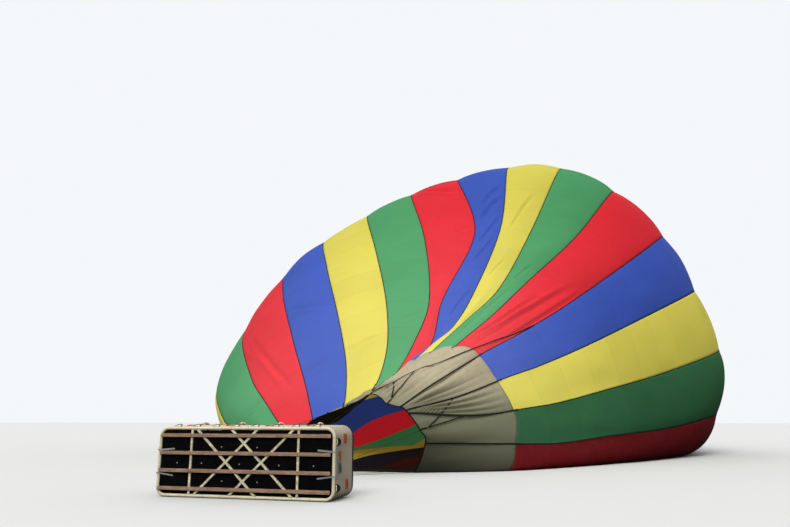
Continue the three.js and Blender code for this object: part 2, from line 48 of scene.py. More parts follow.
SITE = np.array([
    (board_low[0] + board_high[0]) / 2,
    (board_low[1] + board_high[1]) / 2 - 0.074,
    0.0,
])

# Sizes of the envelope and the basket, as in the solids, but for the bulge between two tapes, which
# is less here.
GORES = 24
SCALLOP = 0.13
# The gores of the upper left side are slack and bulge less.
SLACK_SCALLOP = 0.09
SLACK_GORES = (2, 7)
# Cloth of the upper left side hangs slack just inside the mouth.
DROOP = 0.45
DROOP_GORE = 3.2
DROOP_REACH = 2.6
VENT_R = 3.2
VENT_CENTRE = np.array([0.0, 37.0, 5.3])
VENT_TURN = 205
BASKET_L = 4.5
BASKET_W = 1.6
BASKET_CORNER = 0.23
WALL_T = 0.045
WALL_TOP = 1.1
ROLL_R = 0.04
ROLL_Y = 0.0723
RIM_R = 0.06
FRAME_Y = 2.2
MID_Z = BASKET_W / 2

# Stations along a load tape: mouth, tan edge, throat, front, shoulder, widest, back, tail, vent edge.
STATIONS = np.array([0, 0.11, 0.18, 0.26, 0.4, 0.55, 0.7, 0.85, 1])
TAN_EDGE = 0.11
TAPES = {
    0: [(-1.6, 8.8, 0), (-4.4, 11.6, 0), (-6, 13.4, 0), (-7.6, 15.4, 0),
        (-9.6, 19.6, 0), (-10.6, 24, 0), (-10.2, 28.8, 0.6), (-7.8, 33.2, 3.2)],
    1: [(-2.4, 8.2, 0.9), (-5.2, 11.3, 1.2), (-7, 13, 1.4), (-9, 15, 1.7),
        (-12.1, 19.5, 3.4), (-13.1, 24, 4.2), (-11.9, 29, 4.8), (-8, 33.6, 5.6)],
    3: [(-1.6, 7.9, 1.7), (-2.8, 11, 1.7), (-3.8, 12.5, 3.2), (-5.2, 14.2, 5.3),
        (-7.6, 18, 8.3), (-9.5, 22.5, 10.5), (-9.7, 27.5, 10.9), (-6.6, 33, 9.1)],
    5: [(-0.2, 7.6, 2.2), (-0.1, 10.6, 3), (-0.1, 12.3, 4.7), (-0.7, 14.2, 7),
        (-2.3, 17.7, 10.4), (-4.1, 21.8, 13.6), (-4.9, 27, 14.6), (-3.6, 32.8, 12.4)],
    6: [(0.3, 7.5, 2.4), (0.6, 10.8, 3.4), (1, 12.4, 4.8), (1.3, 14.2, 6.9),
        (0.3, 17.8, 10.9), (-1.4, 21.9, 14.7), (-2, 27.2, 15.6), (-1.5, 33, 13.2)],
    7: [(0.7, 7.5, 2.6), (0.9, 11, 3.7), (1.7, 12.6, 4.8), (1.9, 14.2, 6.9),
        (2.9, 18, 11.1), (1.4, 22, 15.4), (1, 27.5, 16.2), (0.8, 33.2, 13.4)],
    8: [(1, 7.6, 2.5), (1.4, 11.3, 4.1), (2.4, 12.9, 5.3), (3.2, 14.7, 7.2),
        (4.2, 18.2, 11.3), (4.3, 22.1, 15.9), (4.2, 27.7, 16.6), (3, 33.2, 13.5)],
    9: [(1.2, 7.6, 2.3), (2, 11.5, 4.4), (3, 13.4, 5.8), (4.3, 15.2, 7.5),
        (5.7, 18.5, 11.1), (7.2, 22.3, 15.6), (7.2, 27.8, 16.3), (5, 33.2, 13)],
    10: [(1.5, 7.7, 2.2), (2.9, 11.7, 4.6), (4.1, 13.6, 6), (5.4, 15.6, 7.7),
         (7.8, 19.1, 10.7), (10, 23.2, 14.3), (9.9, 28.2, 14.7), (6.9, 33.2, 11.9)],
    11: [(1.8, 7.8, 2.1), (3.8, 11.8, 4.2), (5.3, 13.8, 5.3), (7, 15.8, 6.6),
         (10, 19.6, 9.2), (12.5, 24, 11.7), (12.2, 28.5, 12.2), (8.5, 33.2, 10.3)],
    13: [(2.3, 8, 1.4), (5.1, 11.6, 2.1), (6.6, 13.4, 2.4), (8.3, 15.4, 2.9),
         (11.4, 19.3, 3.9), (14.6, 24, 5.2), (14.9, 28.8, 5.8), (10.9, 33.4, 5.8)],
    14: [(2.4, 8.3, 1), (5.2, 10.9, 0.9), (6.8, 12.6, 0.9), (8.5, 14.8, 1.1),
         (11.4, 18.9, 1.4), (14.2, 23.8, 2), (14.3, 28.7, 2.3), (10.2, 33.3, 2.9)],
    15: [(1.9, 8.6, 0), (4.9, 10.2, 0), (6.4, 12, 0), (7.9, 14.2, 0),
         (10.4, 18.5, 0), (12.5, 23.5, 0), (12.4, 28.5, 0), (8.6, 33.2, 0.5)],
}
GORE_COLOURS = ["yellow", "green", "red", "blue"]


def lerp(a, b, t):
    return a + (b - a) * t


def at_site(points):
    """Points of the site, moved into the row frame."""
    return np.asarray(points, float) + SITE


def placed(name, data):
    """An object of this data at the origin, in the scene."""
    made = bpy.data.objects.new(name, data)
    bpy.context.collection.objects.link(made)
    return made


def scaled(colour, share, more=0.0):
    """A darker or paler kind of a colour."""
    return tuple(min(1, c * share + more) for c in colour)


def opaque(colour):
    """Three numbers of a colour as four; a socket stays as it is."""
    return (*colour, 1) if isinstance(colour, tuple) and len(colour) == 3 else colour


def add_camera():
    """Camera at the photograph's place and angle."""
    data = bpy.data.cameras.new("camera")
    data.lens = 30.08
    data.sensor_width = 36
    data.clip_end = 500
    camera = placed("camera", data)
    camera.location = at_site((7.56, -14.26, 1.75))
    camera.rotation_euler = (math.radians(90 + 13.34), 0, math.radians(15.4))
    bpy.context.scene.camera = camera


add_camera()


class Wiring:
    """Adds nodes to one tree and joins them."""

    def __init__(self, tree):
        self.tree = tree

    def node(self, kind, **settings):
        node = self.tree.nodes.new(kind)
        for key, value in settings.items():
            setattr(node, key, value)
        return node

    def join(self, source, target):
        self.tree.links.new(source, target)

    def put(self, value, target):
        """A link where value is a socket, otherwise the socket's own value."""
        if isinstance(value, bpy.types.NodeSocket):
            self.join(value, target)
        elif value is not None:
            target.default_value = value

    def fill(self, node, **values):
        """Sets or joins a node's inputs by their names, written with _ for a space."""
        for key, value in values.items():
            self.put(value, node.inputs[key.replace("_", " ")])
        return node

    def maths(self, operation, a, b=None, clamp=False):
        node = self.node("ShaderNodeMath", operation=operation, use_clamp=clamp)
        for value, target in zip((a, b), node.inputs):
            self.put(value, target)
        return node.outputs[0]

    def times(self, a, b):
        return self.maths("MULTIPLY", a, b)

    def less(self, a, b, clamp=False):
        return self.maths("SUBTRACT", a, b, clamp=clamp)

    def over(self, a, b):
        return self.maths("DIVIDE", a, b)

    def axes(self, vector):
        """The three parts of a vector."""
        node = self.node("ShaderNodeSeparateXYZ")
        self.join(vector, node.inputs[0])
        return node.outputs

    def grey(self, value):
        """The grey whose three parts are value."""
        node = self.node("ShaderNodeCombineColor")
        for target in list(node.inputs)[:3]:
            self.join(value, target)
        return node.outputs["Color"]

    def mix(self, factor, a, b, blend="MIX"):
        node = self.node("ShaderNodeMix", data_type="RGBA", blend_type=blend)
        return self.fill(node, Factor=factor, A=opaque(a), B=opaque(b)).outputs["Result"]

    def spread(self, value, low, high, to_low=0.0, to_high=1.0):
        """A value from low to high, as one from to_low to to_high."""
        ends = {"From_Min": low, "From_Max": high, "To_Min": to_low, "To_Max": to_high}
        return self.fill(self.node("ShaderNodeMapRange"), Value=value, **ends).outputs["Result"]

    def clouds(self, where, scale, detail, roughness=0.5):
        node = self.node("ShaderNodeTexNoise")
        return self.fill(node, Vector=where, Scale=scale, Detail=detail, Roughness=roughness).outputs["Fac"]

    def chance(self, number):
        """A steady random value from 0 to 1 for each whole number."""
        node = self.node("ShaderNodeTexWhiteNoise", noise_dimensions="1D")
        return self.fill(node, W=number).outputs["Value"]

    def stretch(self, where, scale):
        return self.fill(self.node("ShaderNodeMapping"), Vector=where, Scale=scale).outputs["Vector"]


# Pale floor, soft light from all round that is dimmer low down, and a broad lamp from high on the left.
FLOOR_PALE = (0.74, 0.74, 0.72, 1)
FLOOR_BOUNCE = (0.05, 0.055, 0.04, 1)
ROUND_LIGHT = (0.08, 0.85)
ROUND_SEEN = 0.96
LAMP_ENERGY = 1.6
LAMP_FROM = (0.0, -0.72, 0.69)
FLOOR_HALF = 420
FLOOR_DOWN = 0.004


def add_studio():
    corners = [(x * FLOOR_HALF, y * FLOOR_HALF, 0) for x, y in ((-1, -1), (1, -1), (1, 1), (-1, 1))]
    mesh = bpy.data.meshes.new("studio_floor")
    mesh.from_pydata(corners, [], [(0, 1, 2, 3)])
    floor = placed("studio_floor", mesh)
    floor.location.z = -FLOOR_DOWN
    material = bpy.data.materials.new("studio_floor")
    material.use_nodes = True
    shader = material.node_tree.nodes["Principled BSDF"]
    shader.inputs["Roughness"].default_value = 0.9
    # The floor is pale to look at, but throws little light back.
    wiring = Wiring(material.node_tree)
    seen = wiring.node("ShaderNodeLightPath").outputs["Is Camera Ray"]
    wiring.join(wiring.mix(seen, FLOOR_BOUNCE, FLOOR_PALE), shader.inputs["Base Color"])
    mesh.materials.append(material)
    world = bpy.data.worlds.new("studio_light")
    world.use_nodes = True
    background = world.node_tree.nodes["Background"]
    background.inputs["Color"].default_value = (0.95, 0.97, 1.0, 1)
    wiring = Wiring(world.node_tree)
    height = wiring.axes(wiring.node("ShaderNodeTexCoord").outputs["Generated"])["Z"]
    glow = wiring.spread(height, 0.0, 0.35, *ROUND_LIGHT)
    seen = wiring.node("ShaderNodeLightPath").outputs["Is Camera Ray"]
    pick = wiring.fill(wiring.node("ShaderNodeMix"), Factor=seen, A=glow, B=ROUND_SEEN)
    wiring.join(pick.outputs["Result"], background.inputs["Strength"])
    bpy.context.scene.world = world
    lamp = bpy.data.lights.new("studio_lamp", "SUN")
    lamp.energy = LAMP_ENERGY
    lamp.angle = math.radians(30)
    lamp.color = (1.0, 0.985, 0.95)
    placed("studio_lamp", lamp).rotation_euler = Vector(LAMP_FROM).to_track_quat("Z", "Y").to_euler()
    bpy.context.scene.view_settings.view_transform = "Standard"


add_studio()


def group_tree(kind, name, inputs, outputs):
    """An empty group: its tree, its inputs' identifiers, its wiring, its way in and its way out."""
    tree = bpy.data.node_groups.new(name, kind)
    sockets = {}
    for label, socket, default in inputs:
        item = tree.interface.new_socket(label, in_out="INPUT", socket_type=socket)
        if default is not None:
            item.default_value = default
        sockets[label] = item.identifier
    for label, socket in outputs:
        tree.interface.new_socket(label, in_out="OUTPUT", socket_type=socket)
    wiring = Wiring(tree)
    return tree, sockets, wiring, wiring.node("NodeGroupInput"), wiring.node("NodeGroupOutput")


# Shader groups that several finishes share.
def shader_group(name, inputs, outputs):
    tree, _, *rest = group_tree("ShaderNodeTree", name, inputs, outputs)
    return tree, *rest


FLOAT = "NodeSocketFloat"
COLOUR = "NodeSocketColor"
VECTOR = "NodeSocketVector"


def make_weathering():
    """Broad and fine change of tone over a finish, with dust in it."""
    tree, w, given, out = shader_group(
        "weathering",
        [("Where", VECTOR, None), ("Colour", COLOUR, (1, 1, 1, 1)), ("Broad Size", FLOAT, 1.0),
         ("Tone", FLOAT, 0.12), ("Dust", FLOAT, 0.1), ("Dust Colour", COLOUR, (0.4, 0.36, 0.3, 1))],
        [("Colour", COLOUR), ("Dust Mask", FLOAT)],
    )
    has = given.outputs
    broad = w.clouds(has["Where"], w.over(1.0, has["Broad Size"]), 4.0)
    tone = w.times(w.less(broad, 0.5), has["Tone"])
    bright = w.maths("ADD", w.times(tone, 2.0), 1.0)
    toned = w.mix(1.0, has["Colour"], w.grey(bright), "MULTIPLY")
    fine = w.clouds(has["Where"], w.over(7.0, has["Broad Size"]), 6.0, 0.65)
    mask = w.maths("MULTIPLY", w.spread(fine, 0.48, 0.72), has["Dust"], clamp=True)
    w.join(w.mix(mask, toned, has["Dust Colour"]), out.inputs["Colour"])
    w.join(mask, out.inputs["Dust Mask"])
    return tree


THREAD_STEP = 0.012


def make_ripstop():
    """Woven nylon: threads, a square of heavier threads, and the sewn seams between cut panels."""
    tree, w, given, out = shader_group(
        "ripstop_weave",
        [("Cloth", VECTOR, None), ("Panel", FLOAT, 1.6), ("Seam Width", FLOAT, 0.03)],
        [("Height", FLOAT), ("Seam", FLOAT), ("Panel Tone", FLOAT)],
    )
    across, along, _ = w.axes(given.outputs["Cloth"])
    threads = []
    for line in (across, along):
        wave = w.maths("SINE", w.times(line, 2 * math.pi / THREAD_STEP))
        threads.append(w.maths("POWER", w.maths("ABSOLUTE", wave), 12.0))
    grid = w.maths("MAXIMUM", *threads)
    count = w.over(along, given.outputs["Panel"])
    off = w.maths("ABSOLUTE", w.less(w.maths("FRACT", count), 0.5))
    distance = w.times(w.less(0.5, off), given.outputs["Panel"])
    seam = w.less(1.0, w.spread(distance, 0.0, given.outputs["Seam Width"]), clamp=True)
    w.join(w.maths("ADD", w.times(grid, 0.15), seam), out.inputs["Height"])
    w.join(seam, out.inputs["Seam"])
    w.join(w.chance(w.maths("FLOOR", count)), out.inputs["Panel Tone"])
    return tree


WEATHERING = make_weathering()
RIPSTOP = make_ripstop()


def new_finish(name):
    material = bpy.data.materials.new(name)
    material.use_nodes = True
    wiring = Wiring(material.node_tree)
    shader = material.node_tree.nodes["Principled BSDF"]
    return material, wiring, shader


def use_group(wiring, tree, **values):
    return wiring.fill(wiring.node("ShaderNodeGroup", node_tree=tree), **values)


def object_place(wiring):
    return wiring.node("ShaderNodeTexCoord").outputs["Object"]


def cloth_place(wiring):
    return wiring.node("ShaderNodeUVMap", uv_map="cloth").outputs["UV"]


def weathered(wiring, colour, size, tone, dust, dust_colour):
    """A colour with change of tone and dust in it: the outputs of the weathering group."""
    return use_group(
        wiring, WEATHERING, Where=object_place(wiring), Colour=opaque(colour), Broad_Size=size, Tone=tone,
        Dust=dust, Dust_Colour=opaque(dust_colour),
    ).outputs


def paint(wiring, shader, colour, rough, specular=None):
    """Joins a finish's colour and roughness to its shader."""
    wiring.put(colour, shader.inputs["Base Color"])
    wiring.put(rough, shader.inputs["Roughness"])
    if specular is not None:
        shader.inputs["Specular IOR Level"].default_value = specular


def bump(wiring, shader, height, strength, distance):
    node = wiring.fill(wiring.node("ShaderNodeBump"), Strength=strength, Distance=distance, Height=height)
    wiring.join(node.outputs["Normal"], shader.inputs["Normal"])


PANEL = 1.7
SEAM_W = 0.03
NYLON_ROUGH = 0.72
# Where the glow by the mouth is full and where it has gone, on the site.
MOUTH_GLOW_X = (4, 12)
MOUTH_GLOW_Y = (13, 22.5)


def nylon_finish(name, colour, glow_strength, lit_from, veil=0.11):
    """Ripstop nylon and the light through it: none below the first height in lit_from, all above the next."""
    material, w, shader = new_finish(name)
    cloth = use_group(w, RIPSTOP, Cloth=cloth_place(w), Panel=PANEL, Seam_Width=SEAM_W).outputs
    tone = w.spread(cloth["Panel Tone"], 0.0, 1.0, 0.97, 1.02)
    panelled = w.mix(1.0, colour, w.grey(tone), "MULTIPLY")
    worn = weathered(w, panelled, 2.4, 0.08, 0.012, (0.42, 0.4, 0.34))
    final = w.mix(w.times(cloth["Seam"], 0.22), worn["Colour"], scaled(colour, 0.55))
    # Near the ground no light comes through, and most comes through the slack cloth by the mouth.
    x, y, z = w.axes(object_place(w))
    by_mouth = w.times(
        w.spread(y, SITE[1] + MOUTH_GLOW_Y[1], SITE[1] + MOUTH_GLOW_Y[0]),
        w.spread(x, SITE[0] + MOUTH_GLOW_X[1], SITE[0] + MOUTH_GLOW_X[0]),
    )
    # By the mouth the glow is also paler: painted light.
    pale = w.mix(w.times(by_mouth, veil), final, (0.9, 0.9, 0.9))
    share = w.times(w.spread(z, *lit_from), w.spread(by_mouth, 0.0, 1.0, 0.25, 1.0))
    w.join(w.mix(share, (0, 0, 0), pale), shader.inputs["Emission Color"])
    shader.inputs["Emission Strength"].default_value = glow_strength
    paint(w, shader, final, w.spread(worn["Dust Mask"], 0.0, 1.0, NYLON_ROUGH, 0.8), 0.08)
    bump(w, shader, cloth["Height"], 0.35, 0.004)
    return material


NYLON = {
    "yellow": (0.58, 0.51, 0.075),
    "green": (0.058, 0.27, 0.102),
    "red": (0.62, 0.016, 0.027),
    "blue": (0.034, 0.078, 0.39),
}
# The gores from 14 round to 24 lie on or near the ground and face down: share of each colour left under
# painted shade.
SHADED_SHARE = {"yellow": 0.5, "green": 0.4, "red": 0.2, "blue": 0.4}
FIRST_SHADED = 14
# Seen through the mouth, some of these are darkened with painted shade, and some are lit by the day behind
# them.
SHADOWED_GORES = (15, 16, 17, 18, 19, 20)
LIT_GORES = (21, 22, 23, 24)
LIT_INSIDE = {"yellow": 0.30, "green": 0.85, "red": 1.45, "blue": 0.90}


# The envelope's surface, between the load tapes that shape it.
def hermite(keys, values, at, paired=False):
    """Smooth curve through values at keys, which come first; paired gives column n the place at[n]."""
    keys = np.asarray(keys, float)
    values = np.asarray(values, float)
    at = np.asarray(at, float)
    last = len(keys) - 1
    low = np.maximum(np.arange(len(keys)) - 1, 0)
    high = np.minimum(np.arange(len(keys)) + 1, last)
    extra = (1,) * (values.ndim - 1)
    slopes = (values[high] - values[low]) / (keys[high] - keys[low]).reshape(-1, *extra)
    i = np.clip(np.searchsorted(keys, at, side="left") - 1, 0, last - 1)
    first, after = ((i, np.arange(len(at))), (i + 1, np.arange(len(at)))) if paired else (i, i + 1)
    shape = (-1,) + (1,) * (values[first].ndim - 1)
    h = (keys[i + 1] - keys[i]).reshape(shape)
    t = ((at - keys[i]) / (keys[i + 1] - keys[i])).reshape(shape)
    t2, t3 = t * t, t * t * t
    return (
        (2 * t3 - 3 * t2 + 1) * values[first]
        + (t3 - 2 * t2 + t) * slopes[first] * h
        + (3 * t2 - 2 * t3) * values[after]
        + (t3 - t2) * slopes[after] * h
    )


def vent_point(gore):
    """Where a tape reaches the edge of the vent."""
    a = math.radians(VENT_TURN - 15 * gore)
    return VENT_CENTRE + VENT_R * np.array([math.cos(a), 0, math.sin(a)])


def make_guides():
    """Guide tapes round the envelope by number, those on the ground laid between their neighbours."""
    runs = {gore: np.array([*run, vent_point(gore)]) for gore, run in TAPES.items()}
    for gore, share in ((18, 0.4), (21, 0.78)):
        run = lerp(runs[15], runs[0], share)
        run[6:8, 2] = 0
        run[8] = vent_point(gore)
        runs[gore] = run
    runs[24], runs[-3], runs[25] = runs[0], runs[21], runs[1]
    keys = sorted(runs)
    return np.array(keys, float), np.array([runs[key] for key in keys])


GUIDE_KEYS, GUIDE_RUNS = make_guides()


def surface(s, g, paired=False):
    """Grid of points for stations s and gores g, or one column of their pairs, without the bulge."""
    along = hermite(STATIONS, GUIDE_RUNS.transpose(1, 0, 2), s)
    grid = hermite(GUIDE_KEYS, along.transpose(1, 0, 2), g, paired)
    grid = grid[:, None] if paired else grid.transpose(1, 0, 2)
    grid[..., 2] = np.maximum(grid[..., 2], 0)
    return grid


def unit(vectors):
    """Directions of vectors, each one long."""
    return vectors / np.maximum(np.linalg.norm(vectors, axis=-1, keepdims=True), 1e-9)


def outward(s, g, paired=False):
    """Directions out of the envelope at stations s and gores g."""
    e = 0.004
    s = np.asarray(s, float)
    g = np.asarray(g, float)
    along = surface(np.minimum(s + e, 1), g, paired) - surface(np.maximum(s - e, 0), g, paired)
    across = surface(s, g + 0.1, paired) - surface(s, g - 0.1, paired)
    return unit(np.cross(across, along))


def hills(x, y, seed):
    """Smooth noise of about -1 to 1 over x and y, the same on every run."""
    ix, iy = np.floor(x).astype(np.int64), np.floor(y).astype(np.int64)
    fx, fy = x - ix, y - iy
    fx, fy = fx * fx * (3 - 2 * fx), fy * fy * (3 - 2 * fy)

    def corner(a, b):
        mixed = (a * 374761393 + b * 668265263 + seed * 1442695041) & 0xFFFFFFFF
        mixed = ((mixed ^ (mixed >> 13)) * 1274126177) & 0xFFFFFFFF
        return ((mixed ^ (mixed >> 16)) & 0xFFFF) / 32767.5 - 1

    low = lerp(corner(ix, iy), corner(ix + 1, iy), fx)
    high = lerp(corner(ix, iy + 1), corner(ix + 1, iy + 1), fx)
    return lerp(low, high, fy)


TAPE_LENGTH = 38.0
GORE_WIDTH = 3.0
CREASE_GORE_WIDTH = 2.6
# Creases that the half-filled fabric shows: gore, two ends as (share across, station), depth
# and half width in metres.
CREASES = [
    (3, (0.21, 0.357), (0.48, 0.247), 0.085, 0.09),
    (3, (0.33, 0.300), (0.69, 0.182), 0.104, 0.11),
    (3, (0.13, 0.350), (0.30, 0.285), 0.067, 0.08),
    (3, (0.42, 0.260), (0.58, 0.180), 0.067, 0.07),
    (2, (0.43, 0.192), (0.94, 0.198), 0.095, 0.12),
    (4, (0.10, 0.330), (0.90, 0.290), 0.076, 0.12),
    (4, (0.05, 0.199), (0.55, 0.198), 0.067, 0.08),
    (5, (0.04, 0.198), (0.96, 0.206), 0.076, 0.07),
    (6, (0.30, 0.221), (1.00, 0.246), 0.057, 0.08),
    (7, (0.20, 0.550), (0.90, 0.500), 0.114, 0.20),
    (7, (0.40, 0.392), (0.91, 0.411), 0.057, 0.10),
    (8, (0.95, 0.487), (0.20, 0.442), 0.114, 0.10),
    (8, (1.00, 0.462), (0.08, 0.417), 0.133, 0.12),
    (8, (1.00, 0.426), (0.15, 0.365), 0.114, 0.10),
    (8, (0.87, 0.375), (0.39, 0.326), 0.095, 0.10),
    (8, (0.90, 0.274), (0.46, 0.219), 0.085, 0.10),
    (9, (0.75, 0.470), (0.33, 0.390), 0.085, 0.10),
    (9, (0.61, 0.324), (0.25, 0.288), 0.067, 0.10),
    (10, (0.72, 0.308), (0.41, 0.268), 0.067, 0.10),
    (10, (0.60, 0.260), (0.50, 0.120), 0.076, 0.12),
    (11, (0.75, 0.300), (0.55, 0.120), 0.140, 0.14),
    (11, (0.49, 0.250), (0.25, 0.122), 0.133, 0.10),
    (11, (0.94, 0.310), (0.93, 0.125), 0.133, 0.09),
    (11, (0.62, 0.235), (0.42, 0.120), 0.114, 0.08),
]


# Near the mouth the tapes are drawn together: how many gores each moves, and how fast it comes back.
GATHERED_TAPES = [
    (6, 0.0, 1.0), (7, -0.1, 1.1), (8, -1.0, 1.1), (9, -1.9, 1.1), (10, -2.8, 1.1),
    (11, -0.4, 2.0), (12, -0.85, 3.4), (13, -1.55, 3.2), (14, 0.0, 1.0),
]
# Folds of the tan cloth between the drawn tapes: place and half width in gores, height in metres.
TAN_FOLDS = [
    (8.5, 0.30, 0.05), (9.3, 0.22, 0.04), (9.75, 0.10, -0.05), (10.12, 0.05, 0.03), (10.21, 0.03, -0.04),
    (10.34, 0.05, 0.04), (10.45, 0.025, -0.03), (10.54, 0.05, 0.03), (10.66, 0.025, -0.04),
    (10.78, 0.05, 0.03), (10.88, 0.025, -0.03), (11.08, 0.06, -0.07), (11.38, 0.19, 0.15),
    (11.60, 0.03, -0.04),
    (11.72, 0.05, 0.03), (11.84, 0.025, -0.03), (12.02, 0.08, -0.06), (12.17, 0.055, 0.08),
    (12.30, 0.035, -0.09), (12.43, 0.06, 0.10), (12.57, 0.035, -0.09), (12.70, 0.055, 0.09),
    (12.82, 0.03, -0.06), (12.92, 0.05, 0.05), (13.1, 0.08, -0.05), (13.6, 0.3, 0.05),
]


def drawn(s, gore):
    """Where tape number gore lies at stations s, in gores."""
    keys = [row[0] for row in GATHERED_TAPES]
    if gore not in keys:
        return np.full(np.shape(s), float(gore))
    _, move, power = GATHERED_TAPES[keys.index(gore)]
    return gore + move * np.clip(1 - np.asarray(s) / TAN_EDGE, 0, 1) ** power


def tan_folds(s, g):
    """Height of the folds of the tan cloth, which run with the drawn tapes."""
    own = g.copy()
    for i, station in enumerate(s[:, 0]):
        lines = [drawn(station, row[0]) for row in GATHERED_TAPES]
        row = g[i]
        near = (row >= 6) & (row <= 14)
        own[i, near] = np.interp(row[near], lines, [r[0] for r in GATHERED_TAPES])
    rise = np.zeros(g.shape)
    for place, half, height in TAN_FOLDS:
        rise += height * np.exp(-(((own - place) / half) ** 2))
    fade = np.clip((TAN_EDGE - s) / (0.75 * TAN_EDGE), 0, 1) * np.clip(0.2 + s / 0.02, 0, 1)
    return rise * fade * ((g > 6) & (g < 14.3))


def slack(s, g, place):
    """Height of folds, puckers and slow waves of the fabric at stations s and gores g."""
    share = g - np.floor(g)
    free = 4 * share * (1 - share)
    length = TAPE_LENGTH * s
    girth = g * GORE_WIDTH
    rise = 0.050 * hills(girth / 2.3, length / 3.1, 3) + 0.028 * hills(girth / 1.1, length / 1.3, 5)
    rise = rise * free ** 0.6
    edge = np.exp(-free / 0.22) * np.minimum(1, free / 0.03)
    pucker = hills(g * 7.0 + 0.4 * length, length / 0.42, 8) * 0.022
    rise = rise + edge * pucker
    gathered = np.clip((0.21 - s) / 0.15, 0, 1) ** 1.4 * np.minimum(1, 0.25 + s / 0.035)
    pleats = 0.075 * hills(g * 2.3, length / 6.5, 11) + 0.028 * hills(g * 5.1, length / 4.0, 12)
    calm = np.where((g > 8) & (g < 14.2), 0.25, 1.0)
    rise = rise + calm * gathered * pleats * np.minimum(1, free / 0.35) + tan_folds(s, g)
    for gore, first, last, depth, half in CREASES:
        inside = (g >= gore - 1) & (g <= gore)
        metres = np.array([CREASE_GORE_WIDTH, TAPE_LENGTH])
        a = first * metres
        q = np.stack([(g - (gore - 1)) * CREASE_GORE_WIDTH, length], -1) - a
        run = last * metres - a
        t = (q @ run) / (run @ run)
        bend = 0.25 * np.sin(np.pi * np.clip(t, 0, 1)) * half * 3
        side = (q[..., 0] * run[1] - q[..., 1] * run[0]) / np.linalg.norm(run) - bend
        ends = np.clip(t / 0.25, 0, 1) * np.clip((1 - t) / 0.25, 0, 1)
        groove = -np.exp(-((side / half) ** 2)) + 0.6 * np.exp(-(((side - 1.6 * half) / half) ** 2))
        rise = rise + inside * depth * groove * ends * np.minimum(1, free / 0.3)
    return rise * np.minimum(1, place[..., 2] / 0.8) * np.clip(0.1 + s / 0.03, 0, 1)


def fabric(s, g, paired=False):
    """Points and outward directions of the slack, bulging cloth."""
    s = np.asarray(s, float)
    g = np.asarray(g, float)
    base = surface(s, g, paired)
    normal = outward(s, g, paired)
    gg, ss = (g[:, None], s[:, None]) if paired else np.meshgrid(g, s)
    share = gg - np.floor(gg)
    full = np.maximum(0, np.sin(np.pi * lerp(0.02, 1, ss)))
    cut = np.floor(gg) + 1
    depth = np.where((cut >= SLACK_GORES[0]) & (cut <= SLACK_GORES[1]), SLACK_SCALLOP, SCALLOP)
    bulge = depth * full * 4 * share * (1 - share) * np.minimum(1, base[..., 2] / 1.5)
    bulge = bulge + slack(ss, gg, base)
    points = base + normal * bulge[..., None]
    reach = np.minimum(np.abs(gg - DROOP_GORE) / DROOP_REACH, 1)
    hang = np.sin(np.pi * np.minimum(ss / TAN_EDGE, 1)) * 0.5 * (1 + np.cos(np.pi * reach))
    points[..., 2] = np.maximum(points[..., 2] - DROOP * hang, 0.0015)
    return points, normal


def new_piece(name, points, faces, materials, round_faces, uv, face_material=None):
    """One mesh object at the origin; uv is one pair for each face corner."""
    mesh = bpy.data.meshes.new(name)
    mesh.from_pydata([tuple(p) for p in points], [], [tuple(f) for f in faces])
    layer = mesh.uv_layers.new(name="cloth")
    layer.data.foreach_set("uv", np.asarray(uv, np.float32).ravel())
    for material in materials:
        mesh.materials.append(material)
    if face_material is not None:
        mesh.polygons.foreach_set("material_index", np.asarray(face_material, np.int32))
    mesh.polygons.foreach_set("use_smooth", [round_faces] * len(mesh.polygons))
    mesh.update()
    return placed(name, mesh)


def cloth_shell(name, outer, inner, materials, ring=False):
    """Closed thin shell between two grids of points; the inner skin has the second material."""
    rows, columns = outer.shape[:2]
    count = rows * columns
    i, j = np.meshgrid(np.arange(rows - 1), np.arange(columns if ring else columns - 1), indexing="ij")
    a = (i * columns + j).ravel()
    b = (i * columns + (j + 1) % columns).ravel()
    c, d = b + columns, a + columns
    skins = [np.stack([a, b, c, d], 1), np.stack([a, d, c, b], 1) + count]
    first = np.arange(columns if ring else columns - 1)
    after = (first + 1) % columns
    top = (rows - 1) * columns
    rims = [(after, first), (top + first, top + after)]
    if not ring:
        left = np.arange(rows - 1) * columns
        right = left + columns - 1
        rims += [(left, left + columns), (right + columns, right)]
    edges = [np.stack([p, q, q + count, p + count], 1) for p, q in rims]
    faces = np.concatenate(skins + edges)
    width = np.linalg.norm(np.diff(outer, axis=1), axis=2)
    length = np.linalg.norm(np.diff(outer, axis=0), axis=2)
    u = np.concatenate([np.zeros((rows, 1)), np.cumsum(width, axis=1)], axis=1)
    u = u - u[:, -1:] / 2
    v = np.concatenate([np.zeros((1, columns)), np.cumsum(length, axis=0)]).mean(axis=1)
    v = np.repeat(v[:, None], columns, axis=1)
    place = np.tile(np.stack([u, v], -1).reshape(-1, 2), (2, 1))
    points = at_site(np.concatenate([outer.reshape(-1, 3), inner.reshape(-1, 3)]))
    which = np.zeros(len(faces), int)
    which[len(skins[0]):2 * len(skins[0])] = min(1, len(materials) - 1)
    piece = new_piece(name, points, faces, materials, True, place[faces.ravel()], which)
    p, q = outer[:-1, :-1], outer[1:, 1:]
    r, t = outer[:-1, 1:], outer[1:, :-1]
    area = float(np.linalg.norm(np.cross(q - p, t - r), axis=2).sum() / 2)
    return piece, area, float(u[:, -1].max() * 2), float(v[-1, 0])


FABRIC_T = 0.003


def skins_of(s, g):
    """The outer and the inner skin of the cloth."""
    outer, normal = fabric(s, g)
    down = outer[..., 2] < 0.01
    inner = outer - normal * FABRIC_T
    inner[down] = outer[down] + np.array([0, 0, FABRIC_T])
    return outer, inner


def ride_as(piece, slot, *nodes, body="balloon"):
    """The calls that every finished piece needs."""
    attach(piece, body)
    for node in nodes:
        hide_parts(node)
    return piece


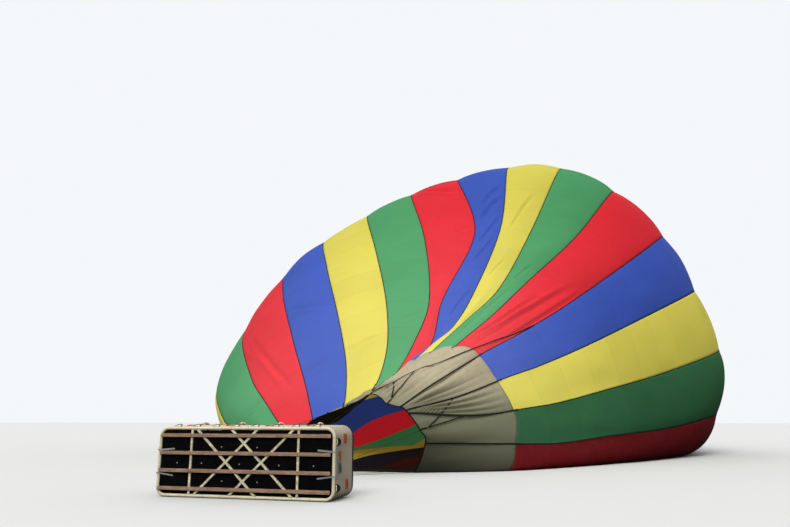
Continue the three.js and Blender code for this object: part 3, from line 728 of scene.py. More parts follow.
def cloth_piece(shell, slot, node):
    """The calls of a cloth shell."""
    piece, area, width, length = shell
    ride_as(piece, slot, node)


SEWN_AT = 0.55


def make_gores():
    """Each gore is cut as a front and a back length, sewn at the widest station."""
    finishes = {}
    for colour, base in NYLON.items():
        # Painted shade: outside, the gores that face the ground have their colour darkened and little glow.
        shaded = scaled(base, SHADED_SHARE[colour])
        inside = nylon_finish(f"{colour}_ripstop_inside", base, 1.0, (0.02, 1.5))
        raised = nylon_finish(f"{colour}_ripstop_lit_inside", base, LIT_INSIDE[colour], (-1.0, 0.0), 0.0)
        # Painted shade: the inside of these gores is the nylon at 0.12 of its colour, with less glow.
        shadowed = nylon_finish(f"{colour}_ripstop_wet_inside", scaled(base, 0.12), 0.3, (0.02, 1.5), 0.0)
        outside = nylon_finish(f"{colour}_ripstop_damp", shaded, 0.1, (0.3, 3.0))
        finishes[colour, "dry"] = (nylon_finish(f"{colour}_ripstop", base, 0.38, (0.3, 3.0)), inside)
        finishes[colour, "shaded"] = (outside, inside)
        finishes[colour, "shadowed"] = (outside, shadowed)
        finishes[colour, "raised"] = (outside, raised)
    for k in range(GORES):
        number, colour = k + 1, GORE_COLOURS[k % 4]
        node = f"gore_{number:02d}_{colour}"
        lie = "shadowed" if number in SHADOWED_GORES else "raised" if number in LIT_GORES else "shaded"
        pair = finishes[colour, "dry" if number < FIRST_SHADED else lie]
        across = np.linspace(k, k + 1, 25)
        across[-1] -= 1e-9
        for part, s0, s1, rows in (("front", TAN_EDGE, SEWN_AT, 120), ("back", SEWN_AT, 1.0, 60)):
            along = np.linspace(s0, s1, rows + 1)
            outer, inner = skins_of(along, across)
            shell = cloth_shell(f"{node}_{part}", outer, inner, pair)
            cloth_piece(shell, f"{colour}_ripstop", node)


make_gores()


def webbing_finish(name, colour, ribs=0.004):
    """Woven webbing with a rib across it every so often."""
    material, w, shader = new_finish(name)
    wave = w.maths("SINE", w.times(w.axes(cloth_place(w))[1], 2 * math.pi / ribs))
    worn = weathered(w, colour, 0.8, 0.3, 0.06, (0.16, 0.15, 0.11))
    paint(w, shader, worn["Colour"], 0.8, 0.1)
    bump(w, shader, wave, 0.4, 0.001)
    return material


BLACK_TAPE = webbing_finish("black_tape", (0.010, 0.011, 0.009))


def strip_mesh(name, runs, materials):
    """One mesh of flat straps: each run is (left, right, normal, thickness) rows of points."""
    points, faces, uv = [], [], []
    for left, right, normal, thick in runs:
        rows = len(left)
        base = len(points)
        under = normal * thick
        step = np.linalg.norm(np.diff((left + right) / 2, axis=0), axis=1)
        length = np.concatenate([[0], np.cumsum(step)])
        wide = float(np.linalg.norm(right[0] - left[0]))
        for i in range(rows):
            points += [left[i], right[i], right[i] - under[i], left[i] - under[i]]
        for i in range(rows - 1):
            o = base + 4 * i
            for k, (u0, u1) in enumerate([(0, wide), (wide, wide + thick), (0, wide), (0, thick)]):
                m = (k + 1) % 4
                faces.append((o + k, o + m, o + m + 4, o + k + 4))
                uv += [(u0, length[i]), (u1, length[i]), (u1, length[i + 1]), (u0, length[i + 1])]
        end = base + 4 * (rows - 1)
        faces += [(base + 3, base + 2, base + 1, base), (end, end + 1, end + 2, end + 3)]
        uv += [(0, 0), (wide, 0), (wide, thick), (0, thick)] * 2
    return new_piece(name, at_site(points), faces, materials, False, uv)


TAPE_W = 0.032
TAPE_T = 0.004
# These tapes end at the edge of the tan cloth.
HIDDEN_TAPES = (7, 8, 9, 10)


def smooth(points, passes):
    """Evens out a line of points between its ends, in place."""
    for _ in range(passes):
        points[1:-1] = (points[:-2] + 2 * points[1:-1] + points[2:]) / 4
    return points


def spaced(rows, count):
    """So many points along a rough line, evenly between its own points."""
    keys = np.linspace(0, 1, len(rows))
    return np.stack([np.interp(np.linspace(0, 1, count), keys, part) for part in zip(*rows)], -1)


def side_of(mid, normal):
    """Unit directions across a strap that lies under normal."""
    return unit(np.cross(unit(np.gradient(mid, axis=0)), normal))


def strap(mid, side, width, normal, thick):
    """One run for strip_mesh about its middle line."""
    return mid - side * width / 2, mid + side * width / 2, normal, thick


def along_cloth(s, g, width, lift=0.012, even=0):
    """A strap on the cloth through stations s and gores g: (left, right, normal, thickness)."""
    mid, normal = (grid[:, 0].copy() for grid in fabric(s, g, paired=True))
    smooth(mid, even)
    ground = mid[:, 2] < 0.03
    normal[ground] = (0, 0, 1)
    side = side_of(mid, normal)
    mid = mid + normal * np.where(ground, 0.0, lift)[:, None]
    mid[ground, 2] = TAPE_T + 0.0035
    return strap(mid, side, width, normal, TAPE_T)


def make_load_tapes():
    """Webbing sewn down every seam, from the mouth edge to the vent."""
    runs = []
    for k in range(GORES):
        hidden = k in HIDDEN_TAPES
        if not hidden:
            s = np.linspace(0.0, TAN_EDGE * 1.05, 60)
            runs.append(along_cloth(s, drawn(s, k), 0.05, 0.04, even=6))
        s = np.linspace(TAN_EDGE * (0.96 if hidden else 1.04), 0.999, 150)
        runs.append(along_cloth(s, drawn(s, k), TAPE_W))
    ride_as(strip_mesh("load_tapes", runs, [BLACK_TAPE]), "black_tape")


make_load_tapes()


TAN_PANEL = 1.5


def tan_finish(name, colour, shaded, glow_strength):
    """Heat-proof cloth of the mouth, with a faint painted glow."""
    material, w, shader = new_finish(name)
    cloth = use_group(w, RIPSTOP, Cloth=cloth_place(w), Panel=TAN_PANEL, Seam_Width=SEAM_W).outputs
    worn = weathered(w, colour, 1.2, 0.18, 0.2, (0.16, 0.14, 0.11))
    sewn = w.mix(w.times(cloth["Seam"], 0.12), worn["Colour"], scaled(colour, 0.4))
    # Lower down the cloth is darker with painted shade, down to the ground it lies on.
    height = w.axes(object_place(w))["Z"]
    halfway = w.mix(w.spread(height, 1.9, 3.4), shaded, sewn)
    final = w.mix(w.spread(height, 0.1, 1.5), scaled(shaded, 0.3), halfway)
    w.join(final, shader.inputs["Emission Color"])
    shader.inputs["Emission Strength"].default_value = glow_strength
    paint(w, shader, final, 0.85, 0.1)
    bump(w, shader, cloth["Height"], 0.4, 0.004)
    return material


def make_tan_panels():
    """Heat-proof cloth of the first lengths round the mouth, pleated where the wires gather it."""
    s = np.linspace(0, TAN_EDGE, 31)
    fine = np.linspace(9, 14, 5 * 44 + 1)
    rest = np.linspace(0, 9, 9 * 16 + 1)[:-1], np.linspace(14, GORES, 10 * 16 + 1)[1:-1]
    g = np.concatenate([rest[0], fine, rest[1]])
    outer, inner = skins_of(s, g)
    # The inside skin is the same tan cloth, darkened with painted shade inside the mouth.
    finishes = [tan_finish("tan_heat_fabric", (0.46, 0.40, 0.27), (0.165, 0.17, 0.105), 0.04),
                tan_finish("tan_heat_fabric_inside", (0.10, 0.08, 0.055), (0.05, 0.045, 0.03), 0.02)]
    shell = cloth_shell("tan_mouth_cloth", outer, inner, finishes, ring=True)
    cloth_piece(shell, "tan_heat_fabric", "tan_mouth_panels")


make_tan_panels()


# A line sewn across the upper tan cloth, from the mouth into gore 11: station and gore.
UPPER_LINE = [(0.004, 7.12), (0.022, 7.48), (0.038, 8.06), (0.052, 8.58), (0.060, 9.12), (0.066, 9.66),
              (0.073, 10.12), (0.088, 10.45), (0.104, 10.64), (0.122, 10.78), (0.142, 10.85), (0.160, 10.9),
              (0.178, 10.96), (0.19, 10.98), (0.205, 11.0)]
# Straps that spread each wire's pull: the joint by the mouth edge, then the two points on the cloth.
SPREADER_STRAPS = [
    ((0.008, 9.2), (0.038, 8.1), (0.060, 9.15)),
    ((0.008, 12.9), (0.050, 11.9), (0.048, 12.8)),
    ((0.008, 5.0), (0.050, 4.2), (0.050, 5.0)),
    ((0.008, 7.0), (0.050, 6.2), (0.050, 7.0)),
    ((0.008, 3.0), (0.050, 2.2), (0.050, 3.0)),
    ((0.008, 1.0), (0.050, 0.2), (0.050, 1.0)),
]


def make_mouth_straps():
    """The bound edge of the mouth and the straps that lead the wires' pull into the cloth."""
    g = np.linspace(0, GORES, GORES * 16 + 1)
    edge, normal = fabric([0.0, 0.0011], g % GORES)
    back = unit(edge[0] - edge[1]) * 0.006
    grow = normal[0] * 0.006
    runs = [(edge[0] + back + grow, edge[1] + grow, normal[0], 0.014)]
    stations, gores = spaced(UPPER_LINE, 80).T
    runs.append(along_cloth(stations, gores, 0.045, 0.05, even=12))
    for joint, first, second in SPREADER_STRAPS:
        for end in (first, second):
            share = np.linspace(0, 1, 14)
            along, across = (lerp(a, b, share) for a, b in zip(joint, end))
            runs.append(along_cloth(along, across, 0.04, 0.06, even=40))
        share = np.linspace(0, 1, 4)
        runs.append(along_cloth(lerp(0.0, joint[0], share), np.full(4, joint[1]), 0.05, 0.02))
    for left, right, _, thick in runs:
        for side in (left, right):
            side[:, 2] = np.maximum(side[:, 2], thick + 0.001)
    ride_as(strip_mesh("mouth_hem_and_spreaders", runs, [BLACK_TAPE]), "black_tape")


make_mouth_straps()


VALVE_RISE = 0.52


def make_valve():
    """Parachute valve: a dome of fabric that closes the vent from inside."""
    edge_low, edge_high = 1 - (1 - TAN_EDGE) / 15, 1.0
    g = np.linspace(0, GORES, GORES * 4 + 1)[:-1]
    rims = [surface([s], g)[0] - outward([s], g)[0] * 0.010 for s in (edge_low, edge_high)]
    edge = lerp(rims[0], rims[1], 0.75)
    share = g - np.floor(g)
    clear = np.where(g < 15, 0.0016, 0.014) + 0.03 * 4 * share * (1 - share)
    edge = edge - outward([0.985], g)[0] * clear[:, None]
    rings = 26
    skins = []
    for depth in (0.0, FABRIC_T):
        rows = []
        for i in range(rings + 1):
            t = max(i / rings, 0.012)
            y = edge[:, 1] + VALVE_RISE * (1 - t * t) ** 2 - depth
            rows.append(np.stack([lerp(VENT_CENTRE[0], edge[:, 0], t), y,
                                  lerp(VENT_CENTRE[2], edge[:, 2], t)], -1))
        skins.append(np.array(rows))
    finishes = [nylon_finish("valve_ripstop", NYLON["yellow"], 0.38, (0.3, 3.0))]
    piece, area, *_ = cloth_shell("valve_cloth", skins[0], skins[1], finishes, ring=True)
    ride_as(piece, "yellow_ripstop", "parachute_valve")


make_valve()


# Helpers for the basket and the burners.
def frames_along(path, closed):
    """Unit run, side and up at each point of a path, turning as little as possible."""
    path = np.asarray(path, float)
    if closed:
        run = unit(np.roll(path, -1, 0) - np.roll(path, 1, 0))
    else:
        run = unit(np.gradient(path, axis=0))
    start = np.array([0, 1, 0.0]) if abs(run[0][1]) < 0.8 else np.array([0, 0, 1.0])
    side = unit(np.cross(run[0], start))
    sides = []
    for step in run:
        side = unit(side - step * (side @ step))
        sides.append(side)
    sides = np.array(sides)
    return run, sides, np.cross(run, sides)


def tube_mesh(name, paths, materials, sides, closed=False):
    """Tubes in one mesh: each path is (points, radius of each point). Ends are closed."""
    points, faces, uv = [], [], []
    for path, radius in paths:
        path = np.asarray(path, float)
        radius = np.broadcast_to(np.asarray(radius, float), len(path))
        _, side, up = frames_along(path, closed)
        base = len(points)
        angle = 2 * np.pi * np.arange(sides) / sides
        for p, r, a, b in zip(path, radius, side, up):
            points += list(p + r * (np.outer(np.cos(angle), a) + np.outer(np.sin(angle), b)))
        far = np.concatenate([[0], np.cumsum(np.linalg.norm(np.diff(path, axis=0), axis=1))])
        far = np.append(far, far[-1] + float(np.linalg.norm(path[0] - path[-1])))
        rows = len(path)
        for i in range(rows if closed else rows - 1):
            for j in range(sides):
                m, k = (i + 1) % rows, (j + 1) % sides
                faces.append((base + i * sides + j, base + i * sides + k, base + m * sides + k,
                              base + m * sides + j))
                u0, u1 = (2 * np.pi * radius[i] * v / sides for v in (j, j + 1))
                uv += [(u0, far[i]), (u1, far[i]), (u1, far[i + 1]), (u0, far[i + 1])]
        if not closed:
            for row, turn in ((0, -1), (rows - 1, 1)):
                loop = [base + row * sides + j for j in range(sides)][::turn]
                faces.append(tuple(loop))
                uv += [(0, far[row])] * sides
    return new_piece(name, at_site(points), faces, materials, True, uv)


def rounded_path(length, width, corner, y, step, mid_z=MID_Z):
    """Closed path round the basket at depth y, with points about step apart."""
    out = []
    cx, cz = length / 2 - corner, width / 2 - corner
    bends = [(cx, cz, 0), (-cx, cz, 90), (-cx, -cz, 180), (cx, -cz, 270)]
    for i, (x, z, start) in enumerate(bends):
        count = max(4, round(corner * np.pi / 2 / step))
        for a in np.radians(start + 90 * np.arange(count + 1) / count):
            out.append((x + corner * np.cos(a), y, mid_z + z + corner * np.sin(a)))
        x2, z2, turn = bends[(i + 1) % 4]
        a = np.radians(turn)
        end = np.array((x2 + corner * np.cos(a), y, mid_z + z2 + corner * np.sin(a)))
        first = np.array(out[-1])
        count = max(1, round(np.linalg.norm(end - first) / step))
        out += [tuple(lerp(first, end, k / count)) for k in range(1, count)]
    return np.array(out)


def worked(name, work, materials):
    """The finished piece from a bmesh."""
    mesh = bpy.data.meshes.new(name)
    work.to_mesh(mesh)
    work.free()
    for material in materials:
        mesh.materials.append(material)
    return placed(name, mesh)


def rod(start, end, count):
    """So many points on a straight line."""
    start, end = np.array(start, float), np.array(end, float)
    return lerp(start, end, np.linspace(0, 1, count)[:, None])


def hoop(x, y, z, radius, count):
    """Closed path round an upright line; the radius may be one number for each point."""
    turn = full_turn(count)
    return np.c_[x + radius * np.cos(turn), np.full(count, y), z + radius * np.sin(turn)]


def full_turn(count):
    return np.linspace(0, 2 * np.pi, count + 1)[:-1]


def solid_block(name, boxes, materials, round_off=0.002, segments=2):
    """Bevelled blocks in one mesh: each box is (low corner, high corner)."""
    work = bmesh.new()
    for low, high in boxes:
        low, high = np.minimum(low, high), np.maximum(low, high)
        made = bmesh.ops.create_cube(work, size=1.0)["verts"]
        for vert in made:
            vert.co = Vector(at_site(low + (high - low) * (np.array(vert.co) + 0.5)))
    bmesh.ops.bevel(work, geom=work.edges[:], offset=round_off, segments=segments, affect="EDGES")
    return worked(name, work, materials)


LATHE_SIDES = 48
SHARP_OVER = math.radians(32)


def turned(name, forms, materials):
    """Lathe work in one mesh: each form is (x, z, profile of (radius, y) from axis to axis)."""
    work = bmesh.new()
    for x, z, profile in forms:
        rows = [[work.verts.new(p) for p in at_site(hoop(x, y, z, radius, LATHE_SIDES))]
                for radius, y in profile]
        for low, high in zip(rows, rows[1:]):
            for j in range(LATHE_SIDES):
                k = (j + 1) % LATHE_SIDES
                work.faces.new((low[j], low[k], high[k], high[j]))
    bmesh.ops.remove_doubles(work, verts=work.verts[:], dist=1e-5)
    bmesh.ops.recalc_face_normals(work, faces=work.faces[:])
    piece = worked(name, work, materials)
    piece.data.polygons.foreach_set("use_smooth", [True] * len(piece.data.polygons))
    piece.data.set_sharp_from_angle(angle=SHARP_OVER)
    return piece


# One Geometry Nodes tree sets rings along a path; another sets bolt heads at points.
def node_tree(name, inputs):
    shape = ("Geometry", "NodeSocketGeometry")
    kinds = [(*shape, None), *inputs, ("Finish", "NodeSocketMaterial", None)]
    return group_tree("GeometryNodeTree", name, kinds, [shape])


def finish_tree(w, has, out, points, instance, turn):
    """Copies of one shape at points, made real and given their finish."""
    copies = w.fill(w.node("GeometryNodeInstanceOnPoints"), Points=points, Instance=instance, Rotation=turn)
    real = w.fill(w.node("GeometryNodeRealizeInstances"), Geometry=copies.outputs["Instances"])
    kind = w.node("GeometryNodeSetMaterial")
    dressed = w.fill(kind, Geometry=real.outputs[0], Material=has["Finish"])
    w.join(dressed.outputs[0], out.inputs[0])


def make_ring_tree():
    tree, sockets, w, given, out = node_tree("rings_along_path", [
        ("Spacing", FLOAT, 0.05), ("Ring Radius", FLOAT, 0.03), ("Wire Radius", FLOAT, 0.004),
        ("Ring Sides", "NodeSocketInt", 12)])
    has = given.outputs
    circle = "GeometryNodeCurvePrimitiveCircle"
    ring = w.fill(w.node(circle), Resolution=has["Ring Sides"], Radius=has["Ring Radius"]).outputs["Curve"]
    wire = w.fill(w.node(circle), Resolution=4, Radius=has["Wire Radius"]).outputs["Curve"]
    skin = w.fill(w.node("GeometryNodeCurveToMesh"), Curve=ring, Profile_Curve=wire)
    places = w.node("GeometryNodeCurveToPoints", mode="LENGTH")
    spots = w.fill(places, Curve=has["Geometry"], Length=has["Spacing"]).outputs
    finish_tree(w, has, out, spots["Points"], skin.outputs["Mesh"], spots["Rotation"])
    return tree, sockets


def make_bolt_tree():
    tree, sockets, w, given, out = node_tree("bolt_heads", [
        ("Head Radius", FLOAT, 0.01), ("Head Height", FLOAT, 0.004), ("Turn", VECTOR, None)])
    has = given.outputs
    kind = w.node("GeometryNodeMeshCylinder")
    head = w.fill(kind, Vertices=8, Radius=has["Head Radius"], Depth=has["Head Height"])
    finish_tree(w, has, out, has["Geometry"], head.outputs["Mesh"], has["Turn"])
    return tree, sockets


RINGS = make_ring_tree()
BOLTS = make_bolt_tree()


def grown(name, source, kit, **values):
    """Run one of the trees on source, and keep the result as a plain mesh piece."""
    tree, sockets = kit
    holder = placed(name + "_path", source)
    modifier = holder.modifiers.new("grow", "NODES")
    modifier.node_group = tree
    for label, value in values.items():
        modifier[sockets[label.replace("_", " ")]] = value
    ready = holder.evaluated_get(bpy.context.evaluated_depsgraph_get())
    mesh = bpy.data.meshes.new_from_object(ready)
    mesh.name = name
    holder.modifiers.clear()
    bpy.data.objects.remove(holder)
    return placed(name, mesh)


def path_curve(name, paths, closed=False):
    data = bpy.data.curves.new(name, "CURVE")
    data.dimensions = "3D"
    for path in paths:
        spline = data.splines.new("POLY")
        spline.points.add(len(path) - 1)
        spline.points.foreach_set("co", np.c_[at_site(path), np.ones(len(path))].ravel())
        spline.use_cyclic_u = closed
    return data


def point_mesh(name, points):
    mesh = bpy.data.meshes.new(name)
    mesh.from_pydata([tuple(p) for p in at_site(points)], [], [])
    return mesh


# Finishes of the basket and the burners.
def make_edge_wear():
    """Paler colour where the surface is convex, broken up by a fine noise."""
    tree, w, given, out = shader_group(
        "edge_wear", [("Where", VECTOR, None), ("Amount", FLOAT, 0.5), ("Size", FLOAT, 0.05)],
        [("Mask", FLOAT)],
    )
    geometry = w.node("ShaderNodeNewGeometry")
    sharp = w.spread(geometry.outputs["Pointiness"], 0.5, 0.58)
    fine = w.clouds(given.outputs["Where"], w.over(1.0, given.outputs["Size"]), 5.0, 0.7)
    broken = w.times(sharp, w.spread(fine, 0.35, 0.6))
    w.join(w.maths("MULTIPLY", broken, given.outputs["Amount"], clamp=True), out.inputs["Mask"])
    return tree


EDGE_WEAR = make_edge_wear()


WOOD_ROUGH = 0.65


def wood_finish(name, colour, streaks):
    """Bare or oiled wood; the grain runs the way that has the smallest number in streaks."""
    material, w, shader = new_finish(name)
    grain = w.clouds(w.stretch(object_place(w), streaks), 1.0, 6.0, 0.65)
    grained = w.mix(w.spread(grain, 0.3, 0.7), scaled(colour, 0.45), scaled(colour, 1.3))
    worn = weathered(w, grained, 0.35, 0.35, 0.35, scaled(colour, 0.3))
    paint(w, shader, worn["Colour"], w.spread(grain, 0.2, 0.8, WOOD_ROUGH - 0.1, WOOD_ROUGH + 0.15), 0.25)
    bump(w, shader, grain, 0.35, 0.002)
    return material


def board_finish():
    """Black-painted floor board, scuffed and dusty."""
    material, w, shader = new_finish("black_board")
    worn = weathered(w, (0.002, 0.0018, 0.002), 0.5, 0.5, 0.08, (0.05, 0.035, 0.025))
    scratches = w.clouds(w.stretch(object_place(w), (6, 1, 90)), 1.0, 4.0, 0.7)
    scuffs = w.times(w.spread(scratches, 0.66, 0.78), 0.25)
    final = w.mix(scuffs, worn["Colour"], (0.10, 0.085, 0.07))
    paint(w, shader, final, w.spread(scratches, 0.3, 0.8, 0.75, 0.95), 0.05)
    bump(w, shader, scratches, 0.2, 0.001)
    return material


STAKE_STEP = 0.034
WEAVER_STEP = 0.052
RODS_IN_BAND = 4.0
CANE_STEP = 0.016


def gap_between(w, count, start):
    """Where a strand turns down to its neighbour, for a place counted in strands."""
    return w.spread(w.maths("ABSOLUTE", w.less(w.maths("FRACT", count), 0.5)), start, 0.5)


def wicker_finish(name, colour, stake_colour):
    """Varnished willow: bands of pale rods woven over and under red-brown stakes."""
    material, w, shader = new_finish(name)
    side, up, _ = w.axes(cloth_place(w))
    bands = w.over(up, WEAVER_STEP)
    turn = w.times(w.maths("ADD", w.over(side, STAKE_STEP), w.maths("FLOOR", bands)), math.pi)
    under = w.spread(w.maths("COSINE", turn), -0.25, -0.6)
    rods = w.times(bands, RODS_IN_BAND)
    tone = w.spread(w.chance(w.maths("FLOOR", rods)), 0.0, 1.0, 0.0, 0.6)
    woven = w.mix(under, w.mix(tone, colour, scaled(colour, 0.66)), stake_colour)
    worn = weathered(w, woven, 0.5, 0.25, 0.2, (0.25, 0.18, 0.1))
    gap = gap_between(w, rods, 0.33)
    # Painted shade darkens the grooves between the rods.
    final = w.mix(w.times(gap, 0.5), worn["Colour"], (0.06, 0.035, 0.02))
    paint(w, shader, final, w.spread(gap, 0.0, 1.0, 0.45, 0.8))
    shader.inputs["Coat Weight"].default_value = 0.1
    bump(w, shader, w.less(1.0, gap), 0.5, 0.004)
    return material


def cane_finish():
    """Pale flat cane, wound close round a core."""
    material, w, shader = new_finish("cane")
    gap = gap_between(w, w.over(w.axes(cloth_place(w))[1], CANE_STEP), 0.38)
    worn = weathered(w, (0.88, 0.78, 0.56), 0.3, 0.25, 0.15, (0.34, 0.25, 0.15))
    # Painted shade darkens the gaps between the turns.
    final = w.mix(w.times(gap, 0.45), worn["Colour"], (0.18, 0.12, 0.06))
    paint(w, shader, final, w.spread(gap, 0.0, 1.0, 0.45, 0.75))
    bump(w, shader, w.less(1.0, gap), 0.6, 0.003)
    return material


def leather_finish(name, colour, rough=0.5):
    """Leather or close cloth with fine pores, paler on its edges."""
    material, w, shader = new_finish(name)
    place = object_place(w)
    pores = w.node("ShaderNodeTexVoronoi")
    w.join(place, pores.inputs["Vector"])
    pores.inputs["Scale"].default_value = 220
    worn = weathered(w, colour, 0.25, 0.35, 0.15, (0.16, 0.13, 0.1))
    wear = use_group(w, EDGE_WEAR, Where=place, Amount=0.35, Size=0.04).outputs["Mask"]
    final = w.mix(wear, worn["Colour"], scaled(colour, 1.8, 0.012))
    paint(w, shader, final, w.spread(worn["Dust Mask"], 0.0, 1.0, rough, 0.85), 0.25)
    bump(w, shader, pores.outputs["Distance"], 0.25, 0.001)
    return material


BRUSHED = (30, 400, 30)


def metal_finish(name, colour, rough):
    """Brushed metal, brighter on its edges."""
    material, w, shader = new_finish(name)
    place = object_place(w)
    lines = w.clouds(w.stretch(place, BRUSHED), 1.0, 4.0, 0.6)
    worn = weathered(w, colour, 0.3, 0.2, 0.12, (0.2, 0.18, 0.15))
    wear = use_group(w, EDGE_WEAR, Where=place, Amount=0.5, Size=0.02).outputs["Mask"]
    final = w.mix(wear, worn["Colour"], scaled(colour, 1.25, 0.05))
    paint(w, shader, final, w.spread(lines, 0.3, 0.7, rough - 0.07, rough + 0.12))
    shader.inputs["Metallic"].default_value = 1.0
    bump(w, shader, lines, 0.15, 0.0005)
    return material


def rope_finish(name, colour):
    """Laid rope: strands wind round it."""
    material, w, shader = new_finish(name)
    side, along, _ = w.axes(cloth_place(w))
    twist = w.maths("ADD", w.over(side, 0.03), w.over(along, 0.04))
    wave = w.maths("ABSOLUTE", w.maths("SINE", w.times(twist, math.pi)))
    worn = weathered(w, colour, 0.2, 0.3, 0.3, (0.3, 0.22, 0.14))
    groove = w.spread(wave, 0.45, 0.0)
    # Painted shade darkens the grooves between the strands.
    final = w.mix(groove, worn["Colour"], scaled(colour, 0.3))
    paint(w, shader, final, w.spread(groove, 0.0, 1.0, 0.75, 0.9))
    bump(w, shader, wave, 0.8, 0.003)
    return material


CANE = cane_finish()
RUNNER_WOOD = wood_finish("runner_wood", (0.42, 0.27, 0.175), (5, 60, 60))
SLAT_WOOD = wood_finish("slat_wood", (0.86, 0.72, 0.50), (14, 160, 14))
BOARD = board_finish()
WICKER = wicker_finish("wicker", (0.88, 0.78, 0.60), (0.13, 0.035, 0.018))
WICKER_PALE = wicker_finish("wicker_partition", (0.50, 0.38, 0.22), (0.26, 0.15, 0.08))
BLACK_LEATHER = leather_finish("black_leather", (0.007, 0.007, 0.008), 0.6)
CANE_PLAIN = wood_finish("split_cane", (0.86, 0.76, 0.56), (40, 40, 40))
TAN_LEATHER = leather_finish("tan_leather", (0.36, 0.11, 0.035))
STEEL = metal_finish("stainless", (0.60, 0.61, 0.62), 0.3)
CYLINDER_STEEL = metal_finish("cylinder_steel", (0.42, 0.43, 0.44), 0.4)
STRAP_STEEL = metal_finish("strap_steel", (0.50, 0.51, 0.50), 0.5)
DARK_STEEL = metal_finish("dark_steel", (0.06, 0.055, 0.05), 0.5)
BRASS = metal_finish("brass", (0.55, 0.38, 0.14), 0.35)
HANDLE_HIDE = leather_finish("handle_hide", (0.80, 0.52, 0.38))
HANDLE_RED = leather_finish("handle_red_hide", (0.50, 0.10, 0.07))
HANDLE_ROPE = rope_finish("handle_rope", (0.56, 0.42, 0.28))
SLEEVE_CLOTH = leather_finish("sleeve_cloth", (0.014, 0.014, 0.016), 0.7)
WIRE_SHEATH = leather_finish("wire_sheath", (0.006, 0.006, 0.006), 0.8)
GREY_GREEN = leather_finish("grey_green_canvas", (0.06, 0.085, 0.07), 0.7)
PALE_WEBBING = webbing_finish("pale_webbing", (0.42, 0.42, 0.38), 0.005)


def dress_nodes(finish, *names):
    """Give carried-over solids their finish."""
    for name in names:
        node = bpy.data.objects[name]
        for slot in node.material_slots:
            slot.material = finish


dress_nodes(SLAT_WOOD, "cross_slat_left", "cross_slat_right", "diagonal_slats")
dress_nodes(BOARD, "floor_board")
dress_nodes(STEEL, "burner_frame", "gimbal_yoke")
dress_nodes(WIRE_SHEATH, *(f"flying_wires_{level}_{side}" for level in ("upper", "lower")
                           for side in ("left", "right")))

RUNNER_ZS = (0.2, 0.6, 1.0, 1.4)
RUNNER_ENDS = (-2.185, 2.145)
RUNNER_HALF = 0.041


def make_runners():
    """Four worn planks on which the basket stands when it is upright."""
    for number, z in enumerate(RUNNER_ZS, 1):
        planks = [((RUNNER_ENDS[0], 0.0005, z - RUNNER_HALF), (RUNNER_ENDS[1], 0.0315, z + RUNNER_HALF))]
        plank = solid_block(f"runner_plank_{number}", planks, [RUNNER_WOOD], 0.006, 3)
        ride_as(plank, "runner_wood", f"wooden_runner_{number}")


make_runners()


def roll_path(step):
    """Middle of the border roll, with points about step apart."""
    return rounded_path(BASKET_L - 2 * ROLL_R, BASKET_W - 2 * ROLL_R, BASKET_CORNER - ROLL_R, ROLL_Y, step)


def make_border_roll():
    """Cane wound round the basket's bottom edge, with a heavier turn every so often."""
    path = roll_path(CANE_STEP)
    turn = np.arange(len(path))
    radius = ROLL_R - 0.004 + 0.0022 * (turn % 2)
    piece = tube_mesh("cane_roll", [(path, radius)], [CANE], 14, closed=True)
    ride_as(piece, "cane", "cane_border_roll")
    rings = grown("cane_roll_ties", path_curve("roll_path", [roll_path(0.08)], True), RINGS, Spacing=0.45,
                  Ring_Radius=ROLL_R - 0.001, Wire_Radius=0.004, Finish=CANE)
    ride_as(rings, "cane")


make_border_roll()

# Footholes beside the border roll: eight along each long side, two at each end.
HOLE_XS = tuple(-1.82 + 0.51 * i for i in range(8))
HOLE_ZS = (0.28, 1.27)
HOLE_W = 0.15
HOLE_Y = (0.125, 0.235)
WALL_FROM = ROLL_Y + ROLL_R + 0.0003
WEAVE_RISE = 0.005
WALL_SWELL = 0.035


def weave_height(across, up):
    """Over and under of the weavers at a place on the wall, from -1 to 1."""
    row = np.floor(up / WEAVER_STEP)
    wave = np.cos(np.pi * (across / STAKE_STEP + row))
    return wave * np.sqrt(np.abs(np.sin(np.pi * up / WEAVER_STEP)))


def in_hole(point):
    """Whether a place on the wall is inside one of its D-shaped footholes."""
    x, y, z = point
    rise = (y - HOLE_Y[0]) / (HOLE_Y[1] - HOLE_Y[0])
    if not 0 < rise < 1:
        return False
    half = HOLE_W / 2 * math.sqrt(1 - 0.8 * rise * rise)
    long_side = abs(x) < BASKET_L / 2 - BASKET_CORNER
    spot, holes = (x, HOLE_XS) if long_side else (z, HOLE_ZS)
    return any(abs(spot - hole) < half for hole in holes)


